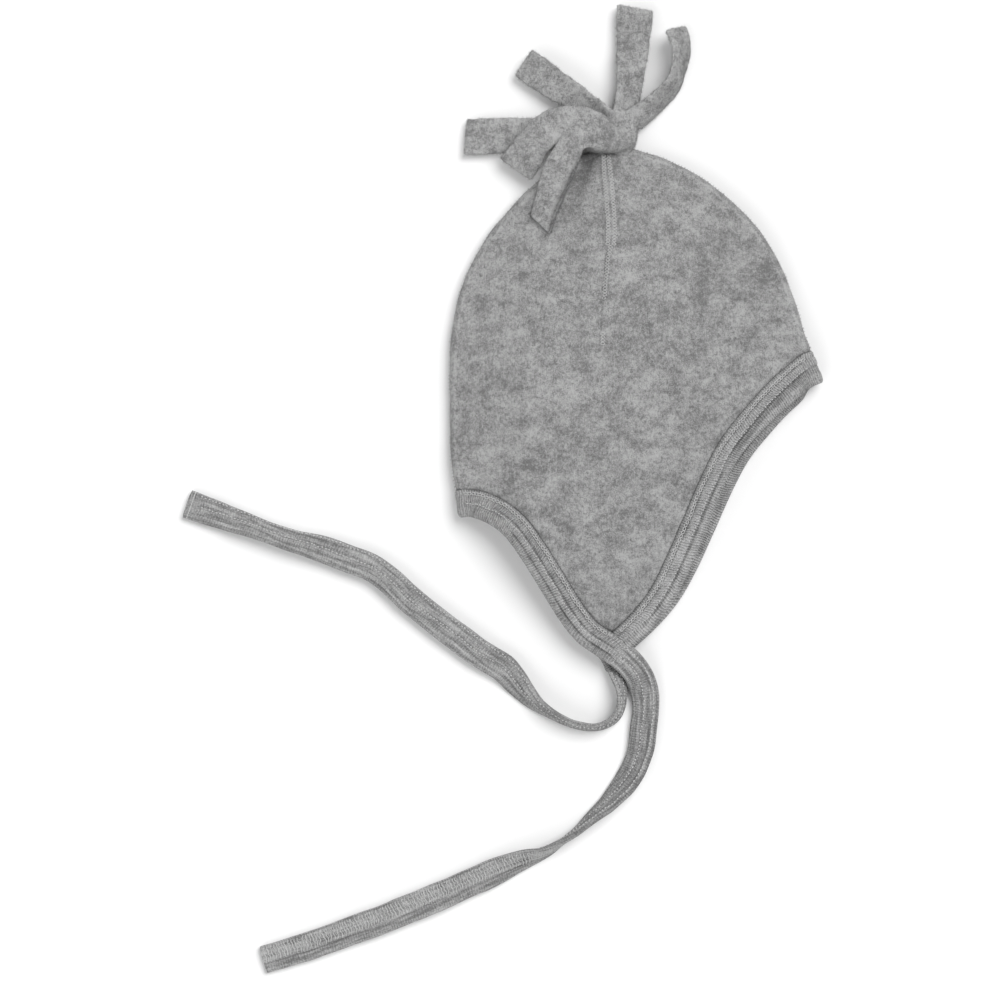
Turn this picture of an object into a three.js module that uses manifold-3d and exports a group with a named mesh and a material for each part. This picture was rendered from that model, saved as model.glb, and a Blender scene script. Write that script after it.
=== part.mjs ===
// A baby's helmet hat of grey wool fleece, lying flat on its side as it lies on a table.
//
// One sheet of fleece makes the bag: it lies on the table, folds over at the back, crown and brow,
// and comes back over itself, so the head goes in between its two layers.
// A ribbed binding wraps the edge round the face, another wraps the edge round the neck and runs on
// into a tie at each ear flap. Strips of the fleece are knotted together on the crown.
//
// Units are millimetres. +X points to the brow, +Y to the crown, +Z up from the table.
// The origin is on the table, below the middle of the hat without its ties.

import * as THREE from "three";
import Module from "manifold-3d";
import { mergeVertices } from "three/addons/utils/BufferGeometryUtils.js";

// Driving sizes of the fleece bag
const lyingWidth = 176; // back fold to the corner of the brow
const lyingHeight = 240; // crown fold to the tip of an ear flap
const loft = 26; // how thick the hat lies in the middle, over both layers
const fleeceWall = 1.8;
const foldRadius = 4.2; // outside of the soft fold round the back, crown and brow
const lowerPeek = 2.2; // how far the lower layer shows past the upper one along the face

// Driving sizes of the bindings
const neckBindingWidth = 13.2;
const faceBindingWidth = 14.6;
const bindingWall = 1.1; // the knit is doubled on each side of the fleece
const hemTuck = 9.5; // how deep the fleece's edge goes into a binding
const hemTurn = 0.9; // the first bit of that, where the fleece turns level
const faceEndSlant = 0.02; // how much sooner the face binding's rim ends at a flap's tip, as a share of its run
const seatGap = 0.3; // between pieces that touch

// Driving sizes of the ties
const tieWidth = 13.4;
const tieThickness = 3;

// Driving sizes of the knotted strips on the crown
const stripWidth = 17;
const stripThickness = 2;
const stripLength = 56;
const knotLength = 34; // along the knot, from strip to strip
const knotHeight = 16; // how high the knot stands on the table

// Outlines of the lying hat, as shares of lyingWidth and lyingHeight, from the back fold and the flap's tip.
// The outer fold runs from the neck binding, up the back, over the crown and down to the brow's binding.
const foldLine = [
  { across: 0.016, up: 0.3275 },
  { across: 0.0013, up: 0.4059 },
  { across: 0, up: 0.5039 },
  { across: 0, up: 0.5725 },
  { across: 0.008, up: 0.6412 },
  { across: 0.0294, up: 0.7196 },
  { across: 0.0802, up: 0.798 },
  { across: 0.1604, up: 0.8765 },
  { across: 0.254, up: 0.9431 },
  { across: 0.3476, up: 0.9843 },
  { across: 0.4412, up: 1 },
  { across: 0.5348, up: 0.9863 },
  { across: 0.6337, up: 0.9549 },
  { across: 0.7139, up: 0.9157 },
  { across: 0.8209, up: 0.8373 },
  { across: 0.8877, up: 0.7588 },
  { across: 0.9278, up: 0.6804 },
  { across: 0.9465, up: 0.6314 },
  { across: 0.9626, up: 0.6 },
];

// The neck binding's inner edge, from just past the back fold to the flap's tip.
const neckEdge = [
  { across: 0.0535, up: 0.3284 },
  { across: 0.0936, up: 0.3235 },
  { across: 0.1471, up: 0.3059 },
  { across: 0.1995, up: 0.2755 },
  { across: 0.2487, up: 0.2275 },
  { across: 0.3048, up: 0.1618 },
  { across: 0.3556, up: 0.102 },
  { across: 0.3904, up: 0.0706 },
  { across: 0.4251, up: 0.0529 },
];

// The face binding's inner edge, from just past the brow's fold to the flap's tip.
const faceEdge = [
  { across: 0.9144, up: 0.5804 },
  { across: 0.8476, up: 0.5373 },
  { across: 0.7914, up: 0.4931 },
  { across: 0.7187, up: 0.4255 },
  { across: 0.6676, up: 0.3539 },
  { across: 0.619, up: 0.2706 },
  { across: 0.5789, up: 0.202 },
  { across: 0.5361, up: 0.1373 },
  { across: 0.4856, up: 0.0882 },
  { across: 0.4385, up: 0.0539 },
];

// Soft dents in the upper layer: where (shares of the way round the fold and from fold to tip),
// how long and wide (same shares), which way they run, and how deep as a share of the loft.
const dents = [
  { round: 0.66, down: 0.2, length: 0.2, width: 0.05, turn: 35, depth: 0.035 },
  { round: 0.42, down: 0.44, length: 0.24, width: 0.045, turn: -12, depth: 0.03 },
  { round: 0.74, down: 0.5, length: 0.16, width: 0.05, turn: 60, depth: 0.035 },
  { round: 0.24, down: 0.3, length: 0.16, width: 0.05, turn: 80, depth: 0.03 },
];

// Strips of fleece that come out of the knot. Places are shares of knotLength from the knot's middle,
// root and tip lift are shares of knotHeight, length and widths are shares of the named strip sizes.
// Heading and turn are degrees in plan, roll tips a strip onto its edge, and cut slants its end.
const strips = [
  { name: "left", x: -0.07, y: -0.083, heading: 181, turn: 0, bend: 1, length: 1.05,
    rootLift: 0.5, tipLift: 0.07, rootWidth: 0.8, tipWidth: 1.1, rootRoll: 0, tipRoll: 4, cut: 4 },
  { name: "up_left", x: 0.07, y: 0.125, heading: 141, turn: 1, bend: 1, length: 0.8,
    rootLift: 0.42, tipLift: 0.22, rootWidth: 0.62, tipWidth: 0.92, rootRoll: 12, tipRoll: 22, cut: -6 },
  { name: "up", x: 0.4, y: 0.18, heading: 87, turn: -2, bend: 1, length: 0.92,
    rootLift: 0.45, tipLift: 0.07, rootWidth: 0.6, tipWidth: 0.98, rootRoll: 12, tipRoll: 2, cut: 4 },
  { name: "right_curl", x: 0.36, y: 0.09, heading: 5, turn: 106, bend: 1, length: 1.04,
    rootLift: 0.4, tipLift: 0.42, rootWidth: 0.9, tipWidth: 0.86, rootRoll: 30, tipRoll: 50, cut: -14 },
  { name: "down", x: -0.235, y: 0.014, heading: 244, turn: 8, bend: 1, length: 0.83,
    rootLift: 1.0, tipLift: 0.94, rootWidth: 0.78, tipWidth: 0.84, rootRoll: -14, tipRoll: -22, cut: -33 },
  { name: "down_left", x: -0.14, y: 0.18, heading: 213, turn: 5, bend: 1, length: 0.73,
    rootLift: 0.94, tipLift: 0.3, rootWidth: 0.95, tipWidth: 0.94, rootRoll: 6, tipRoll: 8, cut: -15 },
];

// The strip that is wrapped round the knot: shares of knotLength from the knot's middle, of knotHeight,
// and of stripWidth, and its roll in degrees.
const wrap = [
  { x: -0.5, y: -0.12, lift: 0.8, width: 0.94, roll: 8 },
  { x: -0.22, y: 0.05, lift: 0.98, width: 0.98, roll: 4 },
  { x: 0.05, y: 0.13, lift: 1.06, width: 0.94, roll: -4 },
  { x: 0.28, y: 0.06, lift: 0.98, width: 0.86, roll: -22 },
  { x: 0.4, y: -0.1, lift: 0.66, width: 0.74, roll: -52 },
  { x: 0.36, y: -0.24, lift: 0.34, width: 0.66, roll: -60 },
];

// Free routes of the ties, in millimetres from where each one leaves its flap: x, y, height of its
// middle above the table, how wide it lies as a share of tieWidth, and its roll in degrees.
const upperTieRoute = [
  [0.7, -0.5, 8.9, 1, 0], [4.7, -3.1, 8.7, 1, 0], [9.9, -6.8, 8.0, 1, 0], [14.6, -11.3, 6.6, 1, 0],
  [18.1, -16.7, 4.8, 1, 0], [20.2, -23.3, 3.0, 0.98, 2], [20.9, -30.8, 2.0, 0.96, 4],
  [19.8, -41.2, 1.8, 0.96, 6], [17.2, -54.8, 2.1, 0.96, 14], [11.8, -65.6, 3.0, 0.94, 28],
  [4.2, -74.6, 4.2, 0.86, 44], [-3.3, -81.6, 5.0, 0.8, 62], [-11.3, -88.7, 5.3, 0.76, 80],
  [-18.4, -93.9, 5.2, 0.76, 96], [-25.9, -98.6, 5.0, 0.8, 116], [-35.3, -101.9, 4.2, 0.88, 140],
  [-48.0, -107.1, 2.8, 0.98, 162], [-64.5, -114.6, 1.9, 1, 174], [-83.3, -122.6, 1.6, 1, 180],
  [-103.1, -130.6, 1.6, 1, 180], [-123.3, -138.1, 1.6, 0.98, 180], [-142.6, -144.7, 1.6, 0.98, 182],
  [-158.6, -149.4, 1.6, 0.98, 180],
];
const lowerTieRoute = [
  [0.7, -0.5, 2.3, 1, 0], [2.6, -1.8, 2.3, 1, 0], [4.7, -4.5, 2.1, 0.98, 0], [7.1, -9.6, 1.9, 0.9, -8],
  [8.9, -16.7, 2.8, 0.78, -38], [9.6, -24.2, 4.3, 0.7, -62], [8.7, -31.8, 4.9, 0.68, -74],
  [4.7, -37.2, 4.9, 0.68, -76], [-2.4, -39.8, 4.9, 0.68, -76], [-10.8, -39.1, 4.9, 0.68, -76],
  [-20.2, -35.5, 4.8, 0.7, -72], [-28.7, -30.4, 4.3, 0.78, -58], [-35.8, -23.8, 3.3, 0.92, -34],
  [-45.6, -12.7, 2.0, 1, -10], [-59.3, -4.0, 1.7, 1, -2], [-72.5, 6.1, 1.7, 1, 0],
  [-88.5, 18.6, 1.7, 0.98, 0], [-105.4, 33.4, 1.7, 0.98, 4], [-118.1, 38.8, 1.7, 0.96, 6],
  [-130.8, 43.5, 1.9, 0.94, 12], [-142.6, 46.8, 2.6, 0.88, 26], [-153.9, 50.4, 2.9, 0.86, 30],
  [-168.5, 55.8, 2.6, 0.88, 24], [-180.2, 59.8, 1.8, 0.96, 8], [-194.4, 64.7, 1.6, 1, 2],
];

// How finely the solids are faceted
const upperRows = 16; // from the fold to the flap's tip, in the upper layer
const lowerRows = 12;
const foldRows = 8; // round the fold
const fleeceColumns = 22; // from the neck binding to the face binding
const stripStations = 9;
const wrapStations = 14;
const tieStations = 38;
const ribbonColumns = 5; // across a strip or tie
const coreSegments = 12;

const degrees = Math.PI / 180;
const clamp = THREE.MathUtils.clamp;
const mix = THREE.MathUtils.lerp;
const ease = (t) => THREE.MathUtils.smoothstep(t, 0, 1);
const up = new THREE.Vector3(0, 0, 1);

const outlinePoint = ({ across, up: rise }) =>
  new THREE.Vector3(across * lyingWidth, rise * lyingHeight, 0);

const smoothCurve = (points) => new THREE.CatmullRomCurve3(points, false, "centripetal");

// The horizontal direction to the left of a curve's own, at a share of its length.
function leftOf(curve, share) {
  const along = curve.getTangentAt(clamp(share, 0, 1));
  return new THREE.Vector3(-along.y, along.x, 0).normalize();
}

// Plan of the hat. "round" runs from 0 at the neck binding to 1 at the face binding, and on through
// a binding to -1 or 2 at its rim. "down" runs from 0 at the fold to 1 at the flap's tip.
const fold = smoothCurve(foldLine.map(outlinePoint));
const inFromFold = (round, distance) =>
  fold.getPointAt(round).addScaledVector(leftOf(fold, round), -distance);
const neck = smoothCurve([inFromFold(0, foldRadius), ...neckEdge.map(outlinePoint)]);
const face = smoothCurve([inFromFold(1, foldRadius), ...faceEdge.map(outlinePoint)]);

function planInside(round, down) {
  const neckSide = neck.getPointAt(down);
  const faceSide = face.getPointAt(down);
  const foldSide = inFromFold(round, foldRadius);
  const tipSide = neck.getPointAt(1).lerp(face.getPointAt(1), round);
  const corners = neck.getPointAt(0).lerp(face.getPointAt(0), round).multiplyScalar(1 - down)
    .addScaledVector(neck.getPointAt(1).lerp(face.getPointAt(1), round), down);
  return foldSide.multiplyScalar(1 - down)
    .addScaledVector(tipSide, down)
    .addScaledVector(neckSide, 1 - round)
    .addScaledVector(faceSide, round)
    .sub(corners);
}

// Directions out of the hat across the two bindings. At the fold they follow the fold.
const nearFold = (down) => 1 - ease(down / 0.1);
const outOfNeck = (down) =>
  leftOf(neck, down).negate().lerp(fold.getTangentAt(0).negate(), nearFold(down)).normalize();
const outOfFace = (down) =>
  leftOf(face, down).lerp(fold.getTangentAt(1), nearFold(down)).normalize();

function planPoint(round, down, layer) {
  const inside = clamp(round, 0, 1);
  const point = planInside(inside, down);
  if (round < 0) point.addScaledVector(outOfNeck(down), -round * neckBindingWidth);
  if (round > 1) point.addScaledVector(outOfFace(down), (round - 1) * faceBindingWidth);
  const peek = layer < 0 ? lowerPeek * inside ** 3 * ease(down / 0.12) * ease((1 - down) / 0.3) : 0;
  return point.addScaledVector(outOfFace(down), peek);
}

// Heights of the middle of the fleece.
const bindingRise = bindingWall + seatGap; // a binding's leg lifts the fleece off the table
const foldMiddle = foldRadius - fleeceWall / 2;

function liftOverBinding(round, down) {
  const intoFleece = ease(Math.min(round, 1 - round) / 0.1);
  const upTheFlap = 1 - ease((down - 0.55) / 0.3);
  return bindingRise * (1 - intoFleece * upTheFlap);
}

function dentDepth(round, down) {
  return dents.reduce((sum, dent) => {
    const a = round - dent.round;
    const b = down - dent.down;
    const cos = Math.cos(dent.turn * degrees);
    const sin = Math.sin(dent.turn * degrees);
    const along = (a * cos + b * sin) / dent.length;
    const over = (b * cos - a * sin) / dent.width;
    return sum + dent.depth * loft * Math.exp(-2 * (along * along + over * over));
  }, 0);
}

function layerHeight(round, down, layer) {
  const low = liftOverBinding(round, down) + fleeceWall / 2;
  if (layer < 0) return low;
  const inside = clamp(round, 0, 1);
  const fromFold = Math.sin(Math.PI / 2 * clamp(down / 0.42, 0, 1));
  const toTip = 1 - ease((down - 0.35) / 0.65) ** 1.2;
  const acrossShare = mix(0.42, 1, Math.sin(Math.PI * inside) ** 1.1);
  const swell = (loft - 2 * foldRadius) * fromFold * toTip * acrossShare;
  return low + 2 * foldMiddle + swell - dentDepth(inside, down) * fromFold;
}

// A point of the fleece's middle surface. "way" runs from -2 at the lower flap's tip to -1 where
// the fold starts, round the fold to 1, and on to 2 at the upper flap's tip.
function fleeceMiddle(round, way) {
  if (Math.abs(way) >= 1) {
    const point = planPoint(round, Math.abs(way) - 1, Math.sign(way));
    return point.setZ(layerHeight(round, Math.abs(way) - 1, Math.sign(way)));
  }
  const turn = way * Math.PI / 2;
  const point = planPoint(round, 0, 1);
  point.addScaledVector(leftOf(fold, clamp(round, 0, 1)), foldMiddle * Math.cos(turn));
  return point.setZ(layerHeight(round, 0, -1) + foldMiddle * (1 + Math.sin(turn)));
}

// The same point moved off the middle surface: outwards from the hat if distance is positive.
function fleecePoint(round, way, distance) {
  const step = 0.004;
  const a = fleeceMiddle(round + step, way).sub(fleeceMiddle(round - step, way));
  const low = Math.max(way - step, -2);
  const high = Math.min(way + step, 2);
  const b = fleeceMiddle(round, high).sub(fleeceMiddle(round, low));
  return fleeceMiddle(round, way).addScaledVector(b.cross(a).normalize(), -distance);
}

// A closed solid from stations, each a pair of rows of points with as many points in both.
function thickSweep(stations) {
  const count = stations[0].outer.length;
  const ring = 2 * count;
  const vertices = stations.flatMap(({ outer, inner }) => [...outer, ...[...inner].reverse()]);
  vertices.forEach((vertex) => vertex.setZ(Math.max(vertex.z, 0)));
  const index = [];
  const apart = (a, b) => vertices[a].distanceTo(vertices[b]);
  const quad = (a, b, c, d) => {
    const split = apart(a, c) <= apart(b, d) ? [a, b, c, a, c, d] : [b, c, d, b, d, a];
    index.push(...split);
  };
  for (let s = 0; s + 1 < stations.length; s++) {
    for (let i = 0; i < ring; i++) {
      const next = (i + 1) % ring;
      quad(s * ring + i, s * ring + next, (s + 1) * ring + next, (s + 1) * ring + i);
    }
  }
  const last = (stations.length - 1) * ring;
  for (let i = 0; i + 1 < count; i++) {
    quad(i + 1, i, ring - 1 - i, ring - 2 - i);
    quad(last + i, last + i + 1, last + ring - 2 - i, last + ring - 1 - i);
  }
  const geometry = new THREE.BufferGeometry().setFromPoints(vertices);
  return geometry.setIndex(index);
}

// Where a row of the sheet runs: short of the flaps' tips by a share of its run, and still shorter
// towards the face binding's rim, which makes way for the tie.
function trimmed(round, way, shortBy) {
  const down = Math.abs(way) - 1;
  if (down < 0) return way;
  return Math.sign(way) * (1 + down * (1 - shortBy - faceEndSlant * Math.max(round - 1, 0)));
}

const spread = (from, to, count) =>
  Array.from({ length: count + 1 }, (_, i) => mix(from, to, i / count));

// Places along the sheet from the lower flap's tip to the upper one's.
const ways = [
  ...spread(-2, -1, lowerRows).slice(0, -1),
  ...spread(-1, 1, foldRows),
  ...spread(1, 2, upperRows).slice(1),
];

// The fleece, thickened by grow on every side.
function fleeceSheet(grow) {
  const tuck = hemTuck + grow;
  const columns = [
    -tuck / neckBindingWidth,
    -hemTurn / neckBindingWidth,
    ...spread(0, 1, fleeceColumns),
    1 + hemTurn / faceBindingWidth,
    1 + tuck / faceBindingWidth,
  ];
  const half = fleeceWall / 2 + grow;
  const row = (way, off) => columns.map((round) => fleecePoint(round, trimmed(round, way, 0), off));
  return thickSweep(ways.map((way) => ({ outer: row(way, half), inner: row(way, -half) })));
}

// A binding's section, round the fleece's edge: how far out from its inner edge, and how far off
// the fleece's middle, outside and inside the folded knit.
const slotHalf = fleeceWall / 2 + seatGap;
const bindingHalf = slotHalf + bindingWall;
const slotEnd = hemTuck + 2 * seatGap;
const bindingSection = (width) => [
  { out: 0, off: bindingHalf - 0.25, slot: 0, inside: slotHalf },
  { out: hemTurn, off: bindingHalf, slot: hemTurn, inside: slotHalf },
  { out: width - 2.2, off: bindingHalf, slot: slotEnd, inside: slotHalf },
  { out: width - 0.6, off: bindingHalf * 0.62, slot: slotEnd, inside: slotHalf / 2 },
  { out: width, off: 0, slot: slotEnd, inside: 0 },
  { out: width - 0.6, off: -bindingHalf * 0.62, slot: slotEnd, inside: -slotHalf / 2 },
  { out: width - 2.2, off: -bindingHalf, slot: slotEnd, inside: -slotHalf },
  { out: hemTurn, off: -bindingHalf, slot: hemTurn, inside: -slotHalf },
  { out: 0, off: -bindingHalf, slot: 0, inside: -slotHalf },
];

// A binding round the fleece's edge. Its section turns the other way at the neck, so there it is
// swept back from the upper flap.
function binding({ roundAt, width, stations, shortBy }) {
  const point = (way, out, off) => fleecePoint(roundAt(out), trimmed(roundAt(out), way, shortBy), off);
  const section = bindingSection(width);
  return thickSweep(stations.map((way) => ({
    outer: section.map(({ out, off }) => point(way, out, off)),
    inner: section.map(({ slot, inside }) => point(way, slot, inside)),
  })));
}

// A flat soft band along stations that give its middle, its direction, width, thickness and roll.
function ribbon(stations, thickness) {
  const shares = spread(-1, 1, ribbonColumns - 1);
  return thickSweep(stations.map(({ middle, along, width, roll, cut = 0 }) => {
    const level = new THREE.Vector3().crossVectors(up, along).normalize();
    const side = level.clone().applyAxisAngle(along, roll * degrees);
    const above = new THREE.Vector3().crossVectors(along, side);
    const slant = side.clone().addScaledVector(along, Math.tan(cut * degrees));
    const row = (sign) => shares.map((share) => {
      const thin = Math.sqrt(1 - 0.86 * share ** 6) * thickness / 2;
      return middle.clone()
        .addScaledVector(slant, share * width / 2)
        .addScaledVector(above, sign * thin);
    });
    return { outer: row(-1), inner: row(1) };
  }));
}

// A strip of fleece out of the knot, along an arc.
function stripStationsOf(row, knot) {
  const length = row.length * stripLength;
  const place = new THREE.Vector3(knot.x + row.x * knotLength, knot.y + row.y * knotLength, 0);
  return spread(0, 1, stripStations).map((share) => {
    const heading = (row.heading + row.turn * share ** row.bend) * degrees;
    const along = new THREE.Vector3(Math.cos(heading), Math.sin(heading), 0);
    if (share > 0) place.addScaledVector(along, length / stripStations);
    const lift = mix(row.rootLift, row.tipLift, ease(share)) * knotHeight;
    return {
      middle: place.clone().setZ(Math.max(lift, stripThickness / 2)),
      along,
      width: mix(row.rootWidth, row.tipWidth, share ** 0.7) * stripWidth,
      roll: mix(row.rootRoll, row.tipRoll, share),
      cut: row.cut * share ** 4,
    };
  });
}

// Stations along a smooth route whose rows hold a middle, a width and a roll.
function routeStations(rows, count) {
  const route = smoothCurve(rows.map(({ middle }) => middle));
  const track = smoothCurve(rows.map(({ width, roll }) => new THREE.Vector3(width, roll, 0)));
  return spread(0, 1, count).map((share) => {
    const t = route.getUtoTmapping(share);
    const { x: width, y: roll } = track.getPoint(t);
    return { middle: route.getPoint(t), along: route.getTangent(t), width, roll };
  });
}

function tie(points, exit) {
  const rows = points.map(([x, y, height, widthShare, roll]) => ({
    middle: new THREE.Vector3(exit.x + x, exit.y + y, height),
    width: widthShare * tieWidth,
    roll,
  }));
  return ribbon(routeStations(rows, tieStations), tieThickness);
}

const wasm = await Module();
wasm.setup();

function solidFrom(geometry) {
  const bare = geometry.clone();
  bare.deleteAttribute("normal");
  bare.deleteAttribute("uv");
  const merged = mergeVertices(bare, 1e-4);
  return new wasm.Manifold(new wasm.Mesh({
    numProp: 3,
    vertProperties: new Float32Array(merged.attributes.position.array),
    triVerts: new Uint32Array(merged.index.array),
  }));
}

function geometryFrom(solid) {
  const { vertProperties, triVerts } = solid.getMesh();
  return new THREE.BufferGeometry()
    .setAttribute("position", new THREE.BufferAttribute(vertProperties, 3))
    .setIndex(new THREE.BufferAttribute(triVerts, 1));
}

// The knot and its strips, fused into one body that is seated on the crown.
function topknot() {
  const apex = outlinePoint(foldLine.reduce((top, row) => (row.up > top.up ? row : top)));
  const knot = new THREE.Vector3(apex.x - 0.28 * knotLength, apex.y + 0.22 * knotLength, 0);
  const core = new THREE.SphereGeometry(0.5, coreSegments, coreSegments - 4)
    .scale(knotLength, 0.52 * knotLength, knotHeight)
    .translate(knot.x, knot.y, knotHeight / 2);
  const stem = new THREE.SphereGeometry(0.5, coreSegments, coreSegments - 4)
    .scale(0.5 * stripWidth + 6, 0.7 * knotLength, 0.7 * knotHeight)
    .translate(apex.x + 0.06 * knotLength, apex.y + 0.16 * knotLength, 0.36 * knotHeight);
  const wrapRows = wrap.map(({ x, y, lift, width, roll }) => ({
    middle: new THREE.Vector3(knot.x + x * knotLength, knot.y + y * knotLength, lift * knotHeight),
    width: width * stripWidth,
    roll,
  }));
  const shapes = [
    core,
    stem,
    ribbon(routeStations(wrapRows, wrapStations), stripThickness),
    ...strips.map((row) => ribbon(stripStationsOf(row, knot), stripThickness)),
  ];
  const fused = shapes.map(solidFrom).reduce((a, b) => a.add(b));
  const seated = fused.subtract(solidFrom(fleeceSheet(seatGap)));
  const [outside] = seated.decompose().sort((a, b) => b.volume() - a.volume());
  return geometryFrom(outside);
}

const cloth = (colour, roughness) =>
  new THREE.MeshStandardMaterial({ color: colour, roughness, metalness: 0 });
const fleeceCloth = cloth(0x999999, 0.98);
const bindingKnit = cloth(0x9c9c9c, 0.92);
const tieKnit = cloth(0x9e9e9e, 0.92);

function piece(name, geometry, material) {
  geometry.computeVertexNormals();
  const mesh = new THREE.Mesh(geometry, material);
  mesh.name = name;
  return mesh;
}

// A tie leaves its flap where the neck binding ends, at the middle of the binding's width.
const tieExit = planPoint(-0.5, 1, 1);
const neckHem = {
  roundAt: (out) => -out / neckBindingWidth,
  width: neckBindingWidth,
  stations: [...ways].reverse(),
  shortBy: seatGap / neck.getLength(),
};
const faceHem = {
  roundAt: (out) => 1 + out / faceBindingWidth,
  width: faceBindingWidth,
  stations: ways,
  shortBy: 2 * seatGap / face.getLength(),
};

const hat = new THREE.Group();
hat.add(
  piece("crown", fleeceSheet(0), fleeceCloth),
  piece("neck_binding", binding(neckHem), bindingKnit),
  piece("face_binding", binding(faceHem), bindingKnit),
  piece("topknot", topknot(), fleeceCloth),
);
const base = new THREE.Box3().setFromObject(hat, true);
hat.add(
  piece("tie_upper", tie(upperTieRoute, tieExit), tieKnit),
  piece("tie_lower", tie(lowerTieRoute, tieExit), tieKnit),
);

// The origin goes on the table, below the middle of the hat without its ties.
const middle = base.getCenter(new THREE.Vector3());
hat.position.set(-middle.x, -middle.y, -base.min.z);

export default hat;
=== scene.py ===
"""A baby's helmet hat of grey wool fleece, lying flat on its side.

The fleece, the ribbed bindings, the two ties, the knotted strips and the stitching are each made by
one operator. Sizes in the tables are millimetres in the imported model's frame: +X to the brow, +Y to
the crown, +Z up from the table.
"""

import math

import bmesh
import bpy
import numpy as np
from bpy.props import FloatProperty, FloatVectorProperty, IntProperty, PointerProperty
from mathutils import Matrix, Vector, noise
from mathutils.bvhtree import BVHTree


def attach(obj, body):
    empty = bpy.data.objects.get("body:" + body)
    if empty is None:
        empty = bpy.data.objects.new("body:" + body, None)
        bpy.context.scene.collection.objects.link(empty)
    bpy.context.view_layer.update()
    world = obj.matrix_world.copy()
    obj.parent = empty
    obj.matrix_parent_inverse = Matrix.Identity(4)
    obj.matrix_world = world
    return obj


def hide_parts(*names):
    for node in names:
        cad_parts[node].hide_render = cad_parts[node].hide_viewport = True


bl_info = {
    "name": "Baby Helmet Hat",
    "version": (1, 0, 0),
    "blender": (4, 5, 0),
    "location": "3D View > Sidebar > Hat",
    "description": "Makes a baby's fleece hat with ribbed bindings, ties and knotted strips",
    "category": "Add Mesh",
}

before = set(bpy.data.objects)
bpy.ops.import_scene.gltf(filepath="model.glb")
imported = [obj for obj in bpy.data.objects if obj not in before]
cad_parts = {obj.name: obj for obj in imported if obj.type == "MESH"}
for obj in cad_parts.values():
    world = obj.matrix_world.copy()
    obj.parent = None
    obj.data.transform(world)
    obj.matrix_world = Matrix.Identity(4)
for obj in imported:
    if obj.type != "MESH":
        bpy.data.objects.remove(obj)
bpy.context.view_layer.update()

MM = 0.001
UP = np.array([0.0, 0.0, 1.0])

# --- The lying hat's own lines ---------------------------------------------------------------

# Middle of the hat's box, from the back fold and the flap's tip.
MIDDLE = np.array([87.509, 154.119, 0.0])
WIDTH = 176.0
HEIGHT = 240.0
LOFT = 26.0
WALL = 1.8  # thickness of the fleece
FOLD_RADIUS = 4.2
FOLD_MIDDLE = FOLD_RADIUS - WALL / 2
PEEK = 2.2  # how far the lower layer shows past the upper one at the face
NECK_BAND = 13.2
FACE_BAND = 14.6
BAND_WALL = 1.1
BAND_RIM = 2.3  # width over which a binding's outer edge rounds off
HALF_FOLD = 6.6  # half of a binding's run round the fold, in its weave
TUCK = 9.5  # how far the fleece reaches into a binding
TURN = 0.9  # from a binding's inner edge to the slot that holds the fleece
END_SLANT = 0.02
SEAT = 0.3  # air between fleece and binding

# Shares of the width and height: the fold from the neck binding up the back, over the crown and
# down to the brow, then the inner edges of the two bindings, each down to the flap's tip.
FOLD_LINE = [
    (0.016, 0.3275), (0.0013, 0.4059), (0, 0.5039), (0, 0.5725), (0.008, 0.6412),
    (0.0294, 0.7196), (0.0802, 0.798), (0.1604, 0.8765), (0.254, 0.9431), (0.3476, 0.9843),
    (0.4412, 1), (0.5348, 0.9863), (0.6337, 0.9549), (0.7139, 0.9157), (0.8209, 0.8373),
    (0.8877, 0.7588), (0.9278, 0.6804), (0.9465, 0.6314), (0.9626, 0.6),
]
NECK_EDGE = [
    (0.0535, 0.3284), (0.0936, 0.3235), (0.1471, 0.3059), (0.1995, 0.2755), (0.2487, 0.2275),
    (0.3048, 0.1618), (0.3556, 0.102), (0.3904, 0.0706), (0.4251, 0.0529),
]
FACE_EDGE = [
    (0.9144, 0.5804), (0.8476, 0.5373), (0.7914, 0.4931), (0.7187, 0.4255), (0.6676, 0.3539),
    (0.619, 0.2706), (0.5789, 0.202), (0.5361, 0.1373), (0.4856, 0.0882), (0.4385, 0.0539),
]

# Soft dents: place, length and width as shares round and down the hat, turn, depth by the loft.
DENTS = [
    (0.66, 0.2, 0.2, 0.05, 35, 0.035),
    (0.42, 0.44, 0.24, 0.045, -12, 0.03),
    (0.74, 0.5, 0.16, 0.05, 60, 0.035),
    (0.24, 0.3, 0.16, 0.05, 80, 0.03),
]

TIE_WIDTH = 13.4
TIE_THICKNESS = 3.0
TIE_CAP = 0.35  # how far a tie's rounded end stands out
BACK_WEAVE = 22.0  # where a tie's back starts in its weave
# Routes of the ties from where each leaves its flap: x, y, height, share of the width, roll.
UPPER_TIE = [
    (0.7, -0.5, 8.9, 1, 0), (4.7, -3.1, 8.7, 1, 0), (9.9, -6.8, 8.0, 1, 0),
    (14.6, -11.3, 6.6, 1, 0), (18.1, -16.7, 4.8, 1, 0), (20.2, -23.3, 3.0, 0.98, 2),
    (20.9, -30.8, 3.0, 0.96, 4), (19.8, -41.2, 3.0, 0.96, 6), (17.2, -54.8, 3.2, 0.96, 14),
    (11.8, -65.6, 3.8, 0.94, 28), (4.2, -74.6, 4.2, 0.86, 44), (-3.3, -81.6, 5.0, 0.8, 62),
    (-11.3, -88.7, 5.3, 0.76, 80), (-18.4, -93.9, 5.2, 0.76, 96), (-25.9, -98.6, 5.0, 0.8, 116),
    (-35.3, -101.9, 4.2, 0.88, 140), (-48.0, -107.1, 3.6, 0.98, 162),
    (-64.5, -114.6, 3.6, 1, 174), (-83.3, -122.6, 3.7, 1, 180), (-103.1, -130.6, 3.4, 1, 180),
    (-123.3, -138.1, 2.9, 0.98, 180), (-142.6, -144.7, 2.3, 0.98, 182),
    (-158.6, -149.4, 1.8, 0.98, 180),
]
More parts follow.
